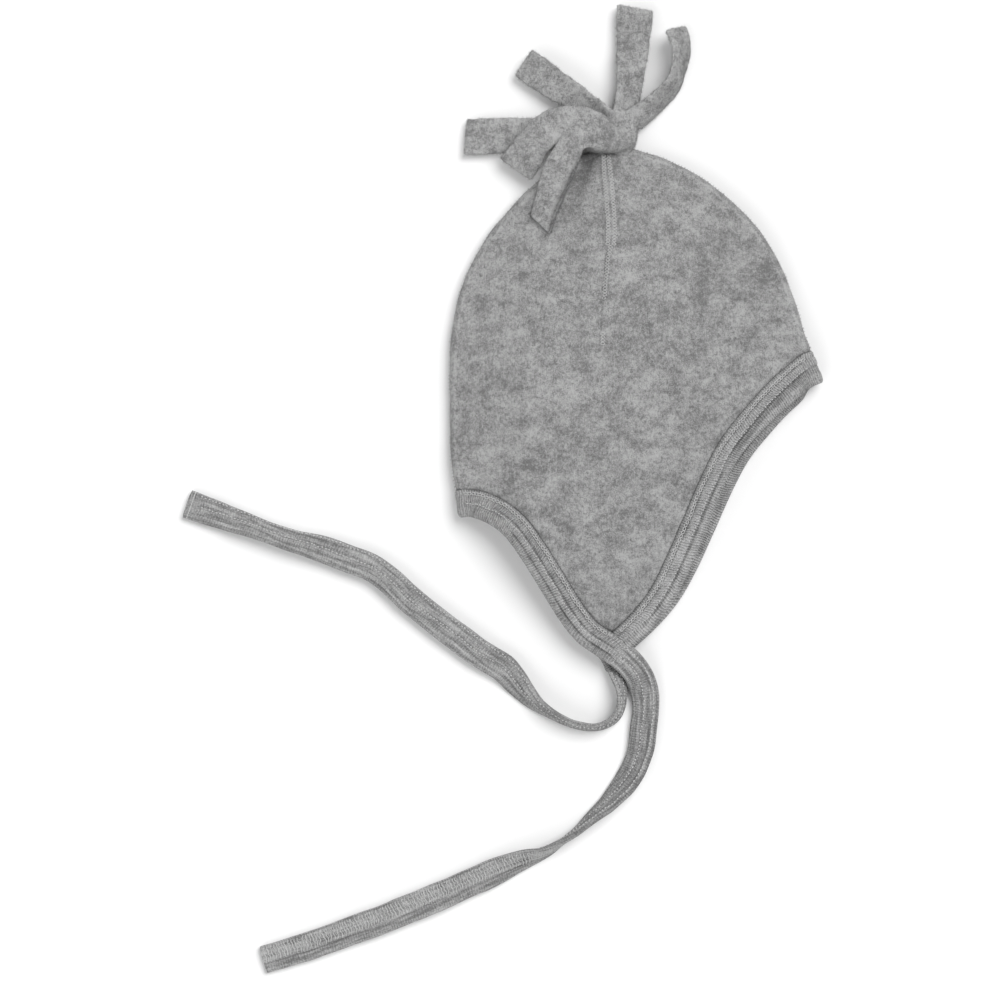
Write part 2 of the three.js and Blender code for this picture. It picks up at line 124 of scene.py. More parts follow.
LOWER_TIE = [
    (0.7, -0.5, 2.3, 1, 0), (2.6, -1.8, 2.3, 1, 0), (4.7, -4.5, 2.1, 0.98, 0),
    (7.1, -9.6, 1.9, 0.9, -8), (8.9, -16.7, 2.8, 0.78, -38), (9.6, -24.2, 4.3, 0.7, -62),
    (8.7, -31.8, 4.9, 0.68, -74), (4.7, -37.2, 4.9, 0.68, -76), (-2.4, -39.8, 4.9, 0.68, -76),
    (-10.8, -39.1, 4.9, 0.68, -76), (-20.2, -35.5, 4.8, 0.7, -72), (-28.7, -30.4, 4.3, 0.78, -58),
    (-35.8, -23.8, 3.3, 0.92, -34), (-45.6, -12.7, 3.4, 1, -10), (-59.3, -4.0, 3.9, 1, -2),
    (-72.5, 6.1, 4.2, 1, 0), (-88.5, 18.6, 4.2, 0.98, 0), (-105.4, 33.4, 4.0, 0.98, 4),
    (-118.1, 38.8, 3.8, 0.96, 6), (-130.8, 43.5, 3.7, 0.94, 12), (-142.6, 46.8, 3.8, 0.88, 26),
    (-153.9, 50.4, 3.8, 0.86, 30), (-168.5, 55.8, 3.3, 0.88, 24), (-180.2, 59.8, 2.5, 0.96, 8),
    (-194.4, 64.7, 1.9, 1, 2),
]
UPPER_PHASE, LOWER_PHASE = 0.4, 2.1  # where the waves of their creases start
# Name, route, phase, layer of the hat that the tie leaves, and how much darker its front is made: the
# knit's front is darker than its back, and the upper tie's front, which runs out from under the hat,
# carries painted shade besides.
TIES = (
    ("upper", UPPER_TIE, UPPER_PHASE, 1, 0.36), ("lower", LOWER_TIE, LOWER_PHASE, -1, 0.2),
)

# Strips of the topknot: x, y, height of the middle, width, roll, and how far the strip curls
# across (degrees, edges up if positive). Each runs from its cut end into the knot.
STRIPS = {
    "left": [
        (-79.7, 90.3, 3.4, 17.6, 176, 4), (-71.0, 90.5, 3.8, 17.2, 178, 6),
        (-61.6, 90.9, 4.4, 16.6, 180, 10), (-52.2, 91.0, 5.6, 16.2, 180, 20),
        (-42.9, 91.0, 6.5, 15, 180, 30), (-31.2, 90.8, 8, 12, 180, 40),
    ],
    "up_left": [
        (-52.7, 124.7, 5.6, 15.0, 12, 6), (-45.2, 119.6, 5.8, 15.0, 12, 14),
        (-37.7, 114.4, 6.0, 14.4, 12, 22), (-29.2, 108.7, 6.3, 13.4, 12, 30),
        (-20.8, 103.4, 6, 11.4, 12, 50), (-11.5, 97.0, 7, 10, 12, 70),
    ],
    "up": [
        (-0.6, 150.5, 4.0, 17.2, 0, 4), (-1.2, 140.8, 4.2, 16.4, 0, 6),
        (-1.7, 131.3, 4.6, 15.2, -2, 10), (-2.7, 120.9, 5.2, 13.6, -4, 24),
        (-4.1, 108.5, 5, 12, -6, 50), (-6.8, 95.6, 7, 12, -8, 80),
    ],
    "right_curl": [
        (18.8, 140.7, 6.0, 15.6, -48, -10), (20.9, 135.5, 6.4, 15.6, -52, -12),
        (21.5, 129.9, 6.6, 15.6, -57, -16), (20.9, 124.3, 6.8, 15.4, -61, -20),
        (18.3, 115.8, 6.8, 15, -61, -24), (13.0, 108.8, 6.6, 14.4, -56, -30),
        (5.4, 102.2, 6.6, 13, -42, -40), (-4.0, 96.1, 7, 12, -26, -60),
    ],
    "flap": [
        (-56.4, 75.2, 7, 18.0, 0, -4), (-52.6, 80.2, 9.5, 17.4, 2, -12),
        (-48.1, 86.8, 12, 16, 4, -26), (-42.5, 92.4, 13.6, 15.8, 6, -36),
        (-36.4, 96.1, 14.4, 15.0, 8, -50), (-29.4, 96.8, 14.4, 14.6, 8, -64),
        (-21.9, 95.6, 13.2, 14.6, 6, -80), (-14.3, 92.0, 10, 14, 4, -80),
    ],
    "down": [
        (-44.0, 47.6, 16.0, 14.6, -22, 4), (-41.0, 57.7, 14.0, 15.4, -18, 6),
        (-38.4, 64.8, 13.6, 17.0, -17, 8), (-35.8, 71.8, 14.2, 17.8, -12, 6),
        (-32.4, 80.0, 14.8, 16.4, -6, -10), (-28.2, 86.8, 14.8, 13.6, 0, -30),
        (-22.6, 90.0, 14.0, 14, 2, -60), (-15.6, 90.0, 12.6, 16, 2, -80),
        (-9.4, 88.0, 9.6, 17, 2, -80), (-6.4, 84.6, 6.5, 16, 0, -70),
    ],
}
STRIP_THICKNESS = 2.0
# How much further the left side of each cut end reaches in, and how far the right edge turns up.
STRIP_ENDS = {
    "left": (-0.85, 0), "up_left": (0, 0), "up": (1.1, 0), "right_curl": (0, 0),
    "flap": (-0.4, 0), "down": (4.2, 4.2),
}
# Unevenness of the strips: size of its bumps, depth and seed.
STRIP_BUMPS = ((9, 0.35, 11), (3.2, 0.3, 21), (1.5, 0.34, 41))
# Inside of the knot, and the fleece drawn together below it: middle and size.
KNOT_CORES = [
    ((-20.0, 91.0, 8.6), (24, 15, 13)), ((-7.0, 92.0, 6.0), (15, 23, 11)),
    ((-14.5, 86.5, 9.6), (25, 9, 9)),
]
KNOT_FACETS = 0.0005  # size of the fused topknot's facets, in metres

# The dart's seam on the crown, from the knot down to its point: x, y.
DART = [
    (-14.5, 83.2), (-13.4, 69.1), (-12.2, 43.3), (-13.7, 26.9), (-15.1, 12.9), (-16.0, -3.4),
    (-16.3, -8.1),
]
DART_COLUMNS = 38.0  # down to this y the seam is two columns wide
DART_APART = 1.3  # each column from the seam's middle
DART_PITCH = 1.5  # from one stitch to the next
DART_HIDDEN = (-2, 13)  # between these y the seam has sunk into the fleece
# The hollow that the knot pulls into the crown, beside the strip that lies down.
HOLLOW = [(-22.8, 82.5), (-26.6, 69.3), (-31.3, 52.9), (-35.9, 41.3)]
# Where the gathers below the knot are deepest, and the point that they fan out from: x, y.
GATHERS = np.array([-11.0, 84.0])
GATHERS_FROM = (-11.0, 92.0)


def ease(t):
    t = np.clip(t, 0, 1)
    return t * t * (3 - 2 * t)


def mix(a, b, t):
    return a + (b - a) * t


def bell(distance, width):
    return np.exp(-2 * (distance / width) ** 2)


def unit(vectors):
    return vectors / np.maximum(np.linalg.norm(vectors, axis=-1, keepdims=True), 1e-12)


class Route:
    """A smooth line through points, walked by its own length."""

    def __init__(self, points):
        rows = np.array(points, float)
        self.rows = np.vstack([2 * rows[0] - rows[1], rows, 2 * rows[-1] - rows[-2]])
        self.steps = np.linspace(0, 1, 201)
        apart = np.linalg.norm(np.diff(self.raw(self.steps), axis=0), axis=1)
        self.lengths = np.concatenate([[0], np.cumsum(apart)])
        self.length = self.lengths[-1]

    def raw(self, t):
        place = np.clip(t, 0, 1) * (len(self.rows) - 3)
        i = np.minimum(place.astype(int), len(self.rows) - 4)
        w = (place - i)[..., None]
        a, b, c, d = (self.rows[i + k] for k in range(4))
        before, here, after = (
            np.sum((q - p) ** 2, axis=-1, keepdims=True) ** 0.25 for p, q in ((a, b), (b, c), (c, d))
        )
        here = np.where(here < 1e-4, 1, here)
        before = np.where(before < 1e-4, here, before)
        after = np.where(after < 1e-4, here, after)
        start = ((b - a) / before - (c - a) / (before + here) + (c - b) / here) * here
        stop = ((c - b) / here - (d - b) / (here + after) + (d - c) / after) * here
        return (
            b + start * w + (3 * (c - b) - 2 * start - stop) * w**2
            + (2 * (b - c) + start + stop) * w**3
        )

    def when(self, share):
        return np.interp(np.clip(share, 0, 1) * self.length, self.lengths, self.steps)

    def heading(self, t):
        return unit(self.raw(np.clip(t + 1e-4, 0, 1)) - self.raw(np.clip(t - 1e-4, 0, 1)))

    def at(self, share):
        return self.raw(self.when(share))

    def left(self, share):
        along = self.heading(self.when(share))
        return unit(np.stack([-along[..., 1], along[..., 0], 0 * along[..., 0]], -1))


def outline(rows):
    return [(across * WIDTH, rise * HEIGHT, 0) for across, rise in rows]


FOLD = Route(outline(FOLD_LINE))


def in_from_fold(around, distance):
    return FOLD.at(around) - distance * FOLD.left(around)


NECK = Route([in_from_fold(np.array(0.0), FOLD_RADIUS), *outline(NECK_EDGE)])
FACE = Route([in_from_fold(np.array(1.0), FOLD_RADIUS), *outline(FACE_EDGE)])
EDGES = {"face": FACE, "neck": NECK}


def plan_inside(around, down):
    """A place inside the bindings, in plan: 0 to 1 from neck to face, and down from the fold."""
    a, d = around[..., None], down[..., None]
    top = mix(NECK.rows[1], FACE.rows[1], a)
    return (
        (in_from_fold(around, FOLD_RADIUS) - top) * (1 - d)
        + NECK.at(down) * (1 - a) + FACE.at(down) * a
    )


def out_of_neck(down):
    near_fold = (1 - ease(down / 0.1))[..., None]
    return unit(mix(-NECK.left(down), -FOLD.heading(np.zeros_like(down)), near_fold))


def out_of_face(down):
    near_fold = (1 - ease(down / 0.1))[..., None]
    return unit(mix(FACE.left(down), FOLD.heading(np.ones_like(down)), near_fold))


def plan_point(around, down, layer):
    """A place in plan, also out on the neck binding (around under 0) or the face one (over 1)."""
    inside = np.clip(around, 0, 1)
    peek = np.where(layer < 0, PEEK * inside**3 * ease(down / 0.12) * ease((1 - down) / 0.3), 0)
    past_neck = np.maximum(-around, 0) * NECK_BAND
    past_face = np.maximum(around - 1, 0) * FACE_BAND + peek
    return (
        plan_inside(inside, down)
        + past_neck[..., None] * out_of_neck(down)
        + past_face[..., None] * out_of_face(down)
    )


def layer_height(around, down, layer):
    """Height of the lower (layer under 0) or upper layer's middle surface."""
    into_fleece = ease(np.minimum(around, 1 - around) / 0.1) * (1 - ease((down - 0.55) / 0.3))
    low = (BAND_WALL + SEAT) * (1 - into_fleece) + WALL / 2
    inside = np.clip(around, 0, 1)
    from_fold = np.sin(np.pi / 2 * np.clip(down / 0.42, 0, 1))
    swell = (
        (LOFT - 2 * FOLD_RADIUS) * from_fold * (1 - ease((down - 0.35) / 0.65) ** 1.2)
        * mix(0.42, 1, np.sin(np.pi * inside) ** 1.1)
    )
    dents = 0
    for at_round, at_down, length, width, turn, depth in DENTS:
        a, b = inside - at_round, down - at_down
        cos, sin = math.cos(math.radians(turn)), math.sin(math.radians(turn))
        along, over = (a * cos + b * sin) / length, (b * cos - a * sin) / width
        dents = dents + depth * LOFT * np.exp(-2 * (along**2 + over**2))
    return np.where(layer < 0, low, low + 2 * FOLD_MIDDLE + swell - dents * from_fold)


def fleece_middle(around, way):
    """The sheet's middle surface. The way is -2 at the lower flap's tip, -1 to 1 round the fold and
    2 at the upper tip."""
    around, way = (np.array(x, float) for x in np.broadcast_arrays(around, way))
    down = np.clip(np.abs(way) - 1, 0, None)
    flat = plan_point(around, down, way)
    flat[..., 2] = layer_height(around, down, way)
    turn = np.clip(way, -1, 1) * np.pi / 2
    bent = plan_point(around, 0 * down, np.ones_like(down))
    bent = bent + FOLD_MIDDLE * np.cos(turn)[..., None] * FOLD.left(np.clip(around, 0, 1))
    low = layer_height(around, 0 * down, -np.ones_like(down))
    bent[..., 2] = low + FOLD_MIDDLE * (1 + np.sin(turn))
    return np.where((np.abs(way) >= 1)[..., None], flat, bent)


def fleece_point(around, way, distance):
    """The sheet moved off its middle surface, outwards if distance is positive."""
    step = 0.004
    across = fleece_middle(around + step, way) - fleece_middle(around - step, way)
    further, nearer = np.minimum(way + step, 2), np.maximum(way - step, -2)
    along = fleece_middle(around, further) - fleece_middle(around, nearer)
    outwards = unit(np.cross(along, across))
    return fleece_middle(around, way) + np.asarray(distance)[..., None] * outwards


def ways_over(lower, fold, upper):
    """The way of each row of points, from the lower flap's tip round the fold to the upper one."""
    return np.r_[
        np.linspace(-2, -1, lower)[:-1], np.linspace(-1, 1, fold)[:-1], np.linspace(1, 2, upper)
    ]


def trimmed(around, way, short_by):
    """A way that stops short of the flap's tip, and a little more so out on the face binding."""
    down = np.abs(way) - 1
    kept = 1 - short_by - END_SLANT * np.maximum(around - 1, 0)
    return np.where(down < 0, way, np.sign(way) * (1 + down * kept))


def in_frame(points):
    """Millimetres from the back fold and the flap's tip, to metres in the frame."""
    moved = (points - MIDDLE) * MM
    moved[..., 2] = np.maximum(moved[..., 2], 0)
    return moved


def rough(points, size, seed):
    """Smooth random height, about -0.6 to 0.6, with bumps of that size in millimetres."""
    offset = Vector((seed * 7.13, seed * 3.71, seed * 1.37))
    flat = np.asarray(points, float).reshape(-1, 3) / size
    return np.array([noise.noise(Vector(p) + offset) for p in flat]).reshape(points.shape[:-1])


def off_line(points, line):
    """Signed distance from a line in plan (left of its way is positive) and the share along it."""
    line = np.array(line, float)
    best = np.full(points.shape[:-1], 1e9)
    signed, share = np.zeros_like(best), np.zeros_like(best)
    spans = np.linalg.norm(np.diff(line, axis=0), axis=1)
    reached = np.concatenate([[0], np.cumsum(spans)])
    for i, span in enumerate(spans):
        along = (line[i + 1] - line[i]) / span
        rel = points[..., :2] - line[i]
        t = np.clip(rel @ along, 0, span)
        away = rel - t[..., None] * along
        distance = np.linalg.norm(away, axis=-1)
        nearer = distance < best
        side = np.where(along[0] * rel[..., 1] - along[1] * rel[..., 0] >= 0, 1, -1)
        best = np.where(nearer, distance, best)
        signed = np.where(nearer, side * distance, signed)
        share = np.where(nearer, (reached[i] + t) / reached[-1], share)
    return signed, share


# --- Cloth pieces ----------------------------------------------------------------------------


def cloth_bmesh():
    made = bmesh.new()
    made.loops.layers.uv.new("weave")
    # A float layer of painted shade: colour darkened in creases, and lightened where it is under 0.
    made.verts.layers.float.new("painted_shade")
    return made


def cloth_piece(name, points, weave, painted_shade, closed=False):
    """A mesh laid over rows of points in metres. weave is its UV map, in metres along and across,
    and the last argument is the shade painted on each point, from 0 to 1, deepest in creases."""
    rows, columns = points.shape[:2]
    made = cloth_bmesh()
    uv = made.loops.layers.uv["weave"]
    painted_shade_layer = made.verts.layers.float["painted_shade"]
    bmesh.ops.create_grid(made, x_segments=columns - 1, y_segments=rows - 1, size=1)
    place = {
        v: (round((v.co.y + 1) / 2 * (rows - 1)), round((v.co.x + 1) / 2 * (columns - 1)))
        for v in made.verts
    }
    for face in made.faces:
        face.smooth = True
        for loop in face.loops:
            loop[uv].uv = weave[place[loop.vert]]
    for v, spot in place.items():
        v.co = points[spot]
        v[painted_shade_layer] = painted_shade[spot]
    if closed:
        close_up(made, 1e-7)
    return as_object(name, made)


def close_up(made, apart):
    """Joins the points that lie less than that apart, and caps the ends."""
    bmesh.ops.remove_doubles(made, verts=made.verts, dist=apart)
    bmesh.ops.holes_fill(made, edges=[e for e in made.edges if e.is_boundary])
    bmesh.ops.recalc_face_normals(made, faces=made.faces)


def as_mesh(name, made):
    mesh = bpy.data.meshes.new(name)
    made.to_mesh(mesh)
    made.free()
    return mesh


def as_object(name, made):
    piece = bpy.data.objects.new(name, as_mesh(name, made))
    bpy.context.scene.collection.objects.link(piece)
    return piece


def laid_out(along, round_it):
    """A band's UV map in metres, from the places of its rows and columns in millimetres."""
    return np.stack(np.broadcast_arrays(along[:, None], round_it[None]), -1) * MM


def finished(piece, material, slot, *nodes):
    """Gives a piece its cloth and its place in the frame."""
    piece.data.materials.append(material)
    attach(piece, "root")
    if nodes:
        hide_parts(*nodes)
    return piece


def rounded_section(count, power):
    """Points round a flat band's section: across from -1 to 1, and thickness from -1 to 1."""
    turn = np.linspace(0, 2 * np.pi, count + 1)
    across = np.cos(turn)
    across[-1] = across[0]
    thick = np.sign(np.sin(turn)) * np.sqrt(np.maximum(1 - np.abs(across) ** power, 0))
    thick[0] = thick[-1] = thick[count // 2] = 0
    return across, thick


def band_frame(rows, shares):
    """Middle, side and upward directions, width and curl along a band's route."""
    rows = np.array(rows, float)
    route, track = Route(rows[:, :3]), Route(rows[:, 3:])
    t = route.when(shares)
    along = route.heading(t)
    extras = track.raw(t)
    level = unit(np.cross(UP, along))
    roll = np.radians(extras[:, 1])[:, None]
    side = level * np.cos(roll) + np.cross(along, level) * np.sin(roll)
    return route, route.raw(t), along, side, np.cross(along, side), extras


def band_points(middle, side, above, width, curl, across, height):
    """Points of a band whose section curls across. Rows run along it, columns round its section."""
    turn = np.where(np.abs(curl) < 0.01, 0.01, curl)[:, None]
    radius = width[:, None] / turn
    angle = across * turn / 2
    x = (radius - height) * np.sin(angle)
    z = radius - (radius - height) * np.cos(angle)
    return middle[:, None] + side[:, None] * x[..., None] + above[:, None] * z[..., None]


# --- Materials -------------------------------------------------------------------------------


class Value:
    """A number on its way through a material, so that sums are written as plain expressions."""

    def __init__(self, cloth, socket):
        self.cloth = cloth
        self.socket = socket

    def worked_out(self, operation, *values):
        node = self.cloth.node("ShaderNodeMath", {"operation": operation}, dict(enumerate(values)))
        return Value(self.cloth, node.outputs[0])

    def __add__(self, other):
        return self.worked_out("ADD", self, other)

    __radd__ = __add__

    def __mul__(self, other):
        return self.worked_out("MULTIPLY", self, other)

    __rmul__ = __mul__

    def __sub__(self, other):
        return self.worked_out("SUBTRACT", self, other)

    def __rsub__(self, other):
        return self.worked_out("SUBTRACT", other, self)

    def sine(self):
        return self.worked_out("SINE", self)

    def between(self, low, high):
        """0 below low, 1 above high, and smooth in between."""
        node = self.cloth.node(
            "ShaderNodeMapRange",
            {"interpolation_type": "SMOOTHSTEP"},
            {"Value": self, "From Min": low, "From Max": high},
        )
        return Value(self.cloth, node.outputs["Result"])


class Cloth:
    """A cloth's material while it is put together."""

    def __init__(self, name, roughness, sheen):
        self.material = bpy.data.materials.new(name)
        self.material.use_nodes = True
        self.tree = self.material.node_tree
        self.tree.nodes.clear()
        self.shader = self.node("ShaderNodeBsdfPrincipled", {}, {
            "Roughness": roughness, "Specular IOR Level": 0.15, "Sheen Weight": sheen,
            "Sheen Roughness": 0.6,
        })
        self.node("ShaderNodeOutputMaterial", {}, {"Surface": self.shader.outputs["BSDF"]})

    def node(self, kind, settings, inputs):
        """A node of that kind with its settings, and the values or links of its sockets."""
        made = self.tree.nodes.new(kind)
        for name, value in settings.items():
            setattr(made, name, value)
        for name, value in inputs.items():
            value = value.socket if isinstance(value, Value) else value
            if isinstance(value, bpy.types.NodeSocket):
                self.tree.links.new(value, made.inputs[name])
            else:
                made.inputs[name].default_value = value
        return made

    def grain(self, place, scale, detail, roughness=0.5, warp=0.0):
        """Random value about 0.5 all over a place."""
        node = self.node("ShaderNodeTexNoise", {"noise_dimensions": "3D"}, {
            "Vector": place, "Scale": scale, "Detail": detail, "Roughness": roughness,
            "Distortion": warp,
        })
        return Value(self, node.outputs["Fac"])

    def stretched(self, place, scale, turn=(0, 0, 0)):
        inputs = {"Vector": place, "Scale": scale, "Rotation": turn}
        return self.node("ShaderNodeMapping", {"vector_type": "POINT"}, inputs).outputs["Vector"]

    def blended(self, share, first, second):
        """A colour between two."""
        settings = {"data_type": "RGBA", "clamp_factor": True}
        inputs = {"Factor": share, "A": first, "B": second}
        return self.node("ShaderNodeMix", settings, inputs).outputs[2]

    def painted_shade(self):
        """The painted shade of each point: 1 at the bottom of a crease, and under 0, a painted
        highlight, on a ridge.
        """
        node = self.node("ShaderNodeAttribute", {"attribute_name": "painted_shade"}, {})
        return Value(self, node.outputs["Fac"])

    def finish(self, colour, height, depth):
        """Puts in the colour with shade painted darkest in the creases, and the relief of that height
        in metres.
        """
        colour = self.blended(self.painted_shade() * 0.6, colour, (0.05, 0.05, 0.05, 1))
        self.tree.links.new(colour, self.shader.inputs["Base Color"])
        bump = self.node("ShaderNodeBump", {}, {"Height": height, "Strength": 1.0, "Distance": depth})
        self.tree.links.new(bump.outputs["Normal"], self.shader.inputs["Normal"])
        return self.material

    def melange(self, grey, contrast, light):
        """A grey made darker or paler by a value, with a painted highlight on ridges and painted
        shade in creases.
        """
        dark, pale = shaded(grey, 1 - contrast), shaded(grey, 1 + contrast)
        return self.blended(light - self.painted_shade() * 0.5, (*dark, 1), (*pale, 1))


def shaded(colour, share):
    return [c * share for c in colour]


def fleece_finish(name, grey):
    cloth = Cloth(name, 0.96, 0.12)
    place = cloth.node("ShaderNodeTexCoord", {}, {}).outputs["Object"]
    wide = cloth.stretched(place, (0.75, 1, 1))
    clouds = cloth.grain(wide, 62, 2, 0.55)
    blotches = cloth.grain(wide, 190, 3, 0.6)
    flecks = cloth.grain(place, 620, 3, 0.7)
    fibres = cloth.grain(place, 1900, 3, 0.75)
    hairs = cloth.grain(cloth.stretched(place, (1, 0.28, 1), (0, 0, 0.5)), 1300, 2, 0.6, 1.2)
    dots = cloth.grain(place, 900, 1, 0.5).between(0.63, 0.72)
    light = (
        0.5 + (clouds - 0.5) * 1.05 + (blotches - 0.5) * 1.5 + (flecks - 0.5) * 1.8
        + (fibres - 0.5) * 2.0 + (hairs - 0.5) * 0.9 - flecks.between(0.62, 0.75) * 0.2 - dots * 0.3
    )
    colour = cloth.melange(grey, 0.45, light)
    height = blotches * 0.5 + flecks * 0.8 + fibres * 0.55 + hairs * 0.5
    return cloth.finish(colour, height, 0.0008)


def knit_finish(name, grey, pitch, clear):
    """Fine ribs across a band, each in its own shade, or long streaks where clear is under 1.
    Its UV map runs along and across the band."""
    cloth = Cloth(name, 0.92, 0.1)
    weave = cloth.node("ShaderNodeUVMap", {"uv_map": "weave"}, {}).outputs["UV"]
    place = cloth.node("ShaderNodeTexCoord", {}, {}).outputs["Object"]
    split = cloth.node("ShaderNodeSeparateXYZ", {}, {"Vector": weave})
    along = Value(cloth, split.outputs["X"])
    across = Value(cloth, split.outputs["Y"])
    lean = cloth.grain(cloth.stretched(weave, (30, 60, 1)), 1, 1)
    wander = cloth.grain(weave, 300, 2)
    shifted = along + (lean - 0.5) * (pitch * 5) + (wander - 0.5) * (pitch * 0.7)
    ribs = (shifted * (2 * math.pi / pitch)).sine()
    loops = (across * (2 * math.pi / (pitch * 1.1))).sine()
    yarns = cloth.node("ShaderNodeCombineXYZ", {}, {"X": shifted * (1 / pitch), "Y": across * 260})
    yarn = cloth.grain(yarns.outputs["Vector"], 1, 2, 0.6)
    streaks = cloth.grain(cloth.stretched(weave, (60, 800, 1)), 1, 2, 0.6)
    patches = cloth.grain(place, 120, 3, 0.6)
    fibres = cloth.grain(place, 1300, 3, 0.75)
    rib_wear_and_front_darkening = wander.between(0.3, 0.55)
    light = (
        0.5 + ribs * (0.21 * clear) * (rib_wear_and_front_darkening * 0.7 + 0.3) + ribs * loops * (0.1 * clear)
        + (yarn - 0.5) * (0.95 * clear) + (patches - 0.5) * 0.7 + (fibres - 0.5) * 2.2
        + (streaks - 0.5) * (3.0 - 2.4 * clear)
    )
    colour = cloth.melange(grey, 0.48, light)
    height = ribs * (0.6 * clear) + loops * 0.1 + yarn * 0.6 + fibres * 0.9
    return cloth.finish(colour, height, 0.00045)


def thread_finish(name, grey):
    cloth = Cloth(name, 0.75, 0.1)
    place = cloth.node("ShaderNodeTexCoord", {}, {}).outputs["Object"]
    twist = cloth.grain(place, 1500, 2, 0.6)
    colour = cloth.melange(grey, 0.25, 0.5 + (twist - 0.5) * 1.2)
    return cloth.finish(colour, twist, 0.0001)


def floor_finish(name, grey):
    cloth = Cloth(name, 0.9, 0)
    cloth.shader.inputs["Base Color"].default_value = (*grey, 1)
    return cloth.material


def cloth_named(name, make, *values):
    """The material of that name, made once."""
    return bpy.data.materials.get(name) or make(name, *values)


# --- Sizes and colours that a user would change ----------------------------------------------


def metres(name, description, default, least, most):
    return FloatProperty(
        name=name, description=description, default=default, min=least, max=most, unit="LENGTH"
    )


def colour_grey(name, description, shade):
    return FloatVectorProperty(
        name=name, description=description, default=(shade,) * 3, size=3, min=0, max=1,
        subtype="COLOR",
    )


def light_strength(name, description, default, most):
    return FloatProperty(name=name, description=description, default=default, min=0, max=most)


class HatSizes(bpy.types.PropertyGroup):
    crumple: metres("Crumple", "How deep the fleece's soft unevenness is", 0.0009, 0, 0.003)
    rib_pitch: metres("Rib Pitch", "From one rib of the knit to the next", 0.00122, 0.0004, 0.003)
    groove: metres("Groove", "Depth of the bindings' and ties' lengthwise creases", 0.0007, 0, 0.0015)
    stitch: metres("Stitch", "From one stitch of a seam to the next", 0.0018, 0.0008, 0.004)
    thread: metres("Thread", "How thick the sewing thread is", 0.00042, 0.0001, 0.001)
    fibre: metres("Fibre", "How long the loose fibres of the fleece are", 0.0009, 0.0002, 0.004)
    fibres: IntProperty(
        name="Fibres", description="Loose fibres on the hat, and as many on the knotted strips",
        default=14000, min=10, max=30000,
    )
    band_stations: IntProperty(
        name="Band Stations", description="Rows of faces along each tie",
        default=420, min=40, max=900,
    )


class HatColours(bpy.types.PropertyGroup):
    fleece: colour_grey("Fleece", "Middle grey of the brushed fleece", 0.3)
    knit: colour_grey("Knit", "Middle grey of the ribbed bindings and ties", 0.338)
    thread: colour_grey("Thread", "Grey of the sewing thread", 0.5)
    floor: colour_grey("Floor", "Colour of the floor", 0.9)


class StageSettings(bpy.types.PropertyGroup):
    camera_height: metres("Camera Height", "How high the camera hangs over the hat", 2.0, 0.5, 5)
    view_width: metres("View Width", "How much of the floor the picture shows", 0.4706, 0.2, 2)
    key: light_strength("Key Light", "Strength of the soft light from beyond the brow", 2.45, 40)
    soft: light_strength("Soft Light", "Strength of the wide light from the ties' side", 1.65, 40)
    fill: light_strength("Fill", "Strength of the even light from all round", 0.4, 5)


# --- Making the hat --------------------------------------------------------------------------


def crown_relief(points, from_neck, from_face, way):
    """How far the fleece stands off its smooth form, in shares of the crumple, and the shade painted
    on it.
    """
    relief = 0.6 * rough(points, 46, 1) + 0.42 * rough(points, 17, 2) + 0.22 * rough(points, 7, 3)
    local, upper = points - MIDDLE, ease((way + 0.2) / 1.2)
    hem = np.minimum(from_neck, from_face)
    relief = relief * (0.25 + 0.75 * ease(hem / 9))
    relief += 0.42 * rough(points * (1, 1, 0.4), 5.5, 4) * bell(hem - 2, 5)
    # Painted shade along the seam where the fleece goes into the bindings, and a painted highlight
    # along the top of the fold.
    painted_shade = 0.45 * bell(hem, 0.8) - 0.4 * bell(way - 0.72, 0.14)
    # Painted shade on the upper part towards the brow, where the key light brightens the fleece.
    painted_shade += 0.08 * ease((local[..., 0] - 10) / 40) * ease((local[..., 1] + 30) / 50)
    away, share = off_line(local, DART)
    wide = ease((local[..., 1] - DART_COLUMNS + 6) / 8)
    shown = upper * ease((1 - share) / 0.12)
    columns = 0.55 * bell(away, 3.6) - 0.6 * bell(np.abs(away) - 3.6, 1.4)
    ridge = 0.5 * bell(away - 0.9, 2.4) - 0.8 * bell(away + 1.1, 1.5)
    relief += shown * mix(ridge, columns, wide)
    # Painted shade in the dart's groove where it is one column, and beside the columns where it is
    # two.
    beside = 0.15 * bell(np.abs(away) - 3.0, 1.0)
    painted_shade += shown * mix(0.35 * bell(away + 1.1, 1.0), beside, wide)
    away, share = off_line(local, HOLLOW)
    hollow = upper * (1 - ease(share))
    relief -= 2.6 * bell(away, 7) * hollow
    # Painted shade in the hollow that the knot pulls in beside the strip that lies down.
    painted_shade += (0.4 * bell(away, 5) + 0.35 * bell(away - 3, 2.5)) * hollow
    knot = np.linalg.norm(local[..., :2] - GATHERS, axis=-1)
    turn = np.arctan2(local[..., 1] - GATHERS_FROM[1], local[..., 0] - GATHERS_FROM[0])
    gathers = np.sin(turn * 15 + 1.3 * rough(points, 20, 5)) * np.exp(-(knot / 9.0) ** 1.5)
    relief += 0.7 * gathers
    # Painted shade below the knot, deeper in the gathers' valleys, with a painted highlight on their
    # ridges.
    painted_shade += 0.45 * np.exp(-(knot / 7.0) ** 2) * upper - 0.2 * gathers
    return relief, np.clip(painted_shade, -0.5, 1)


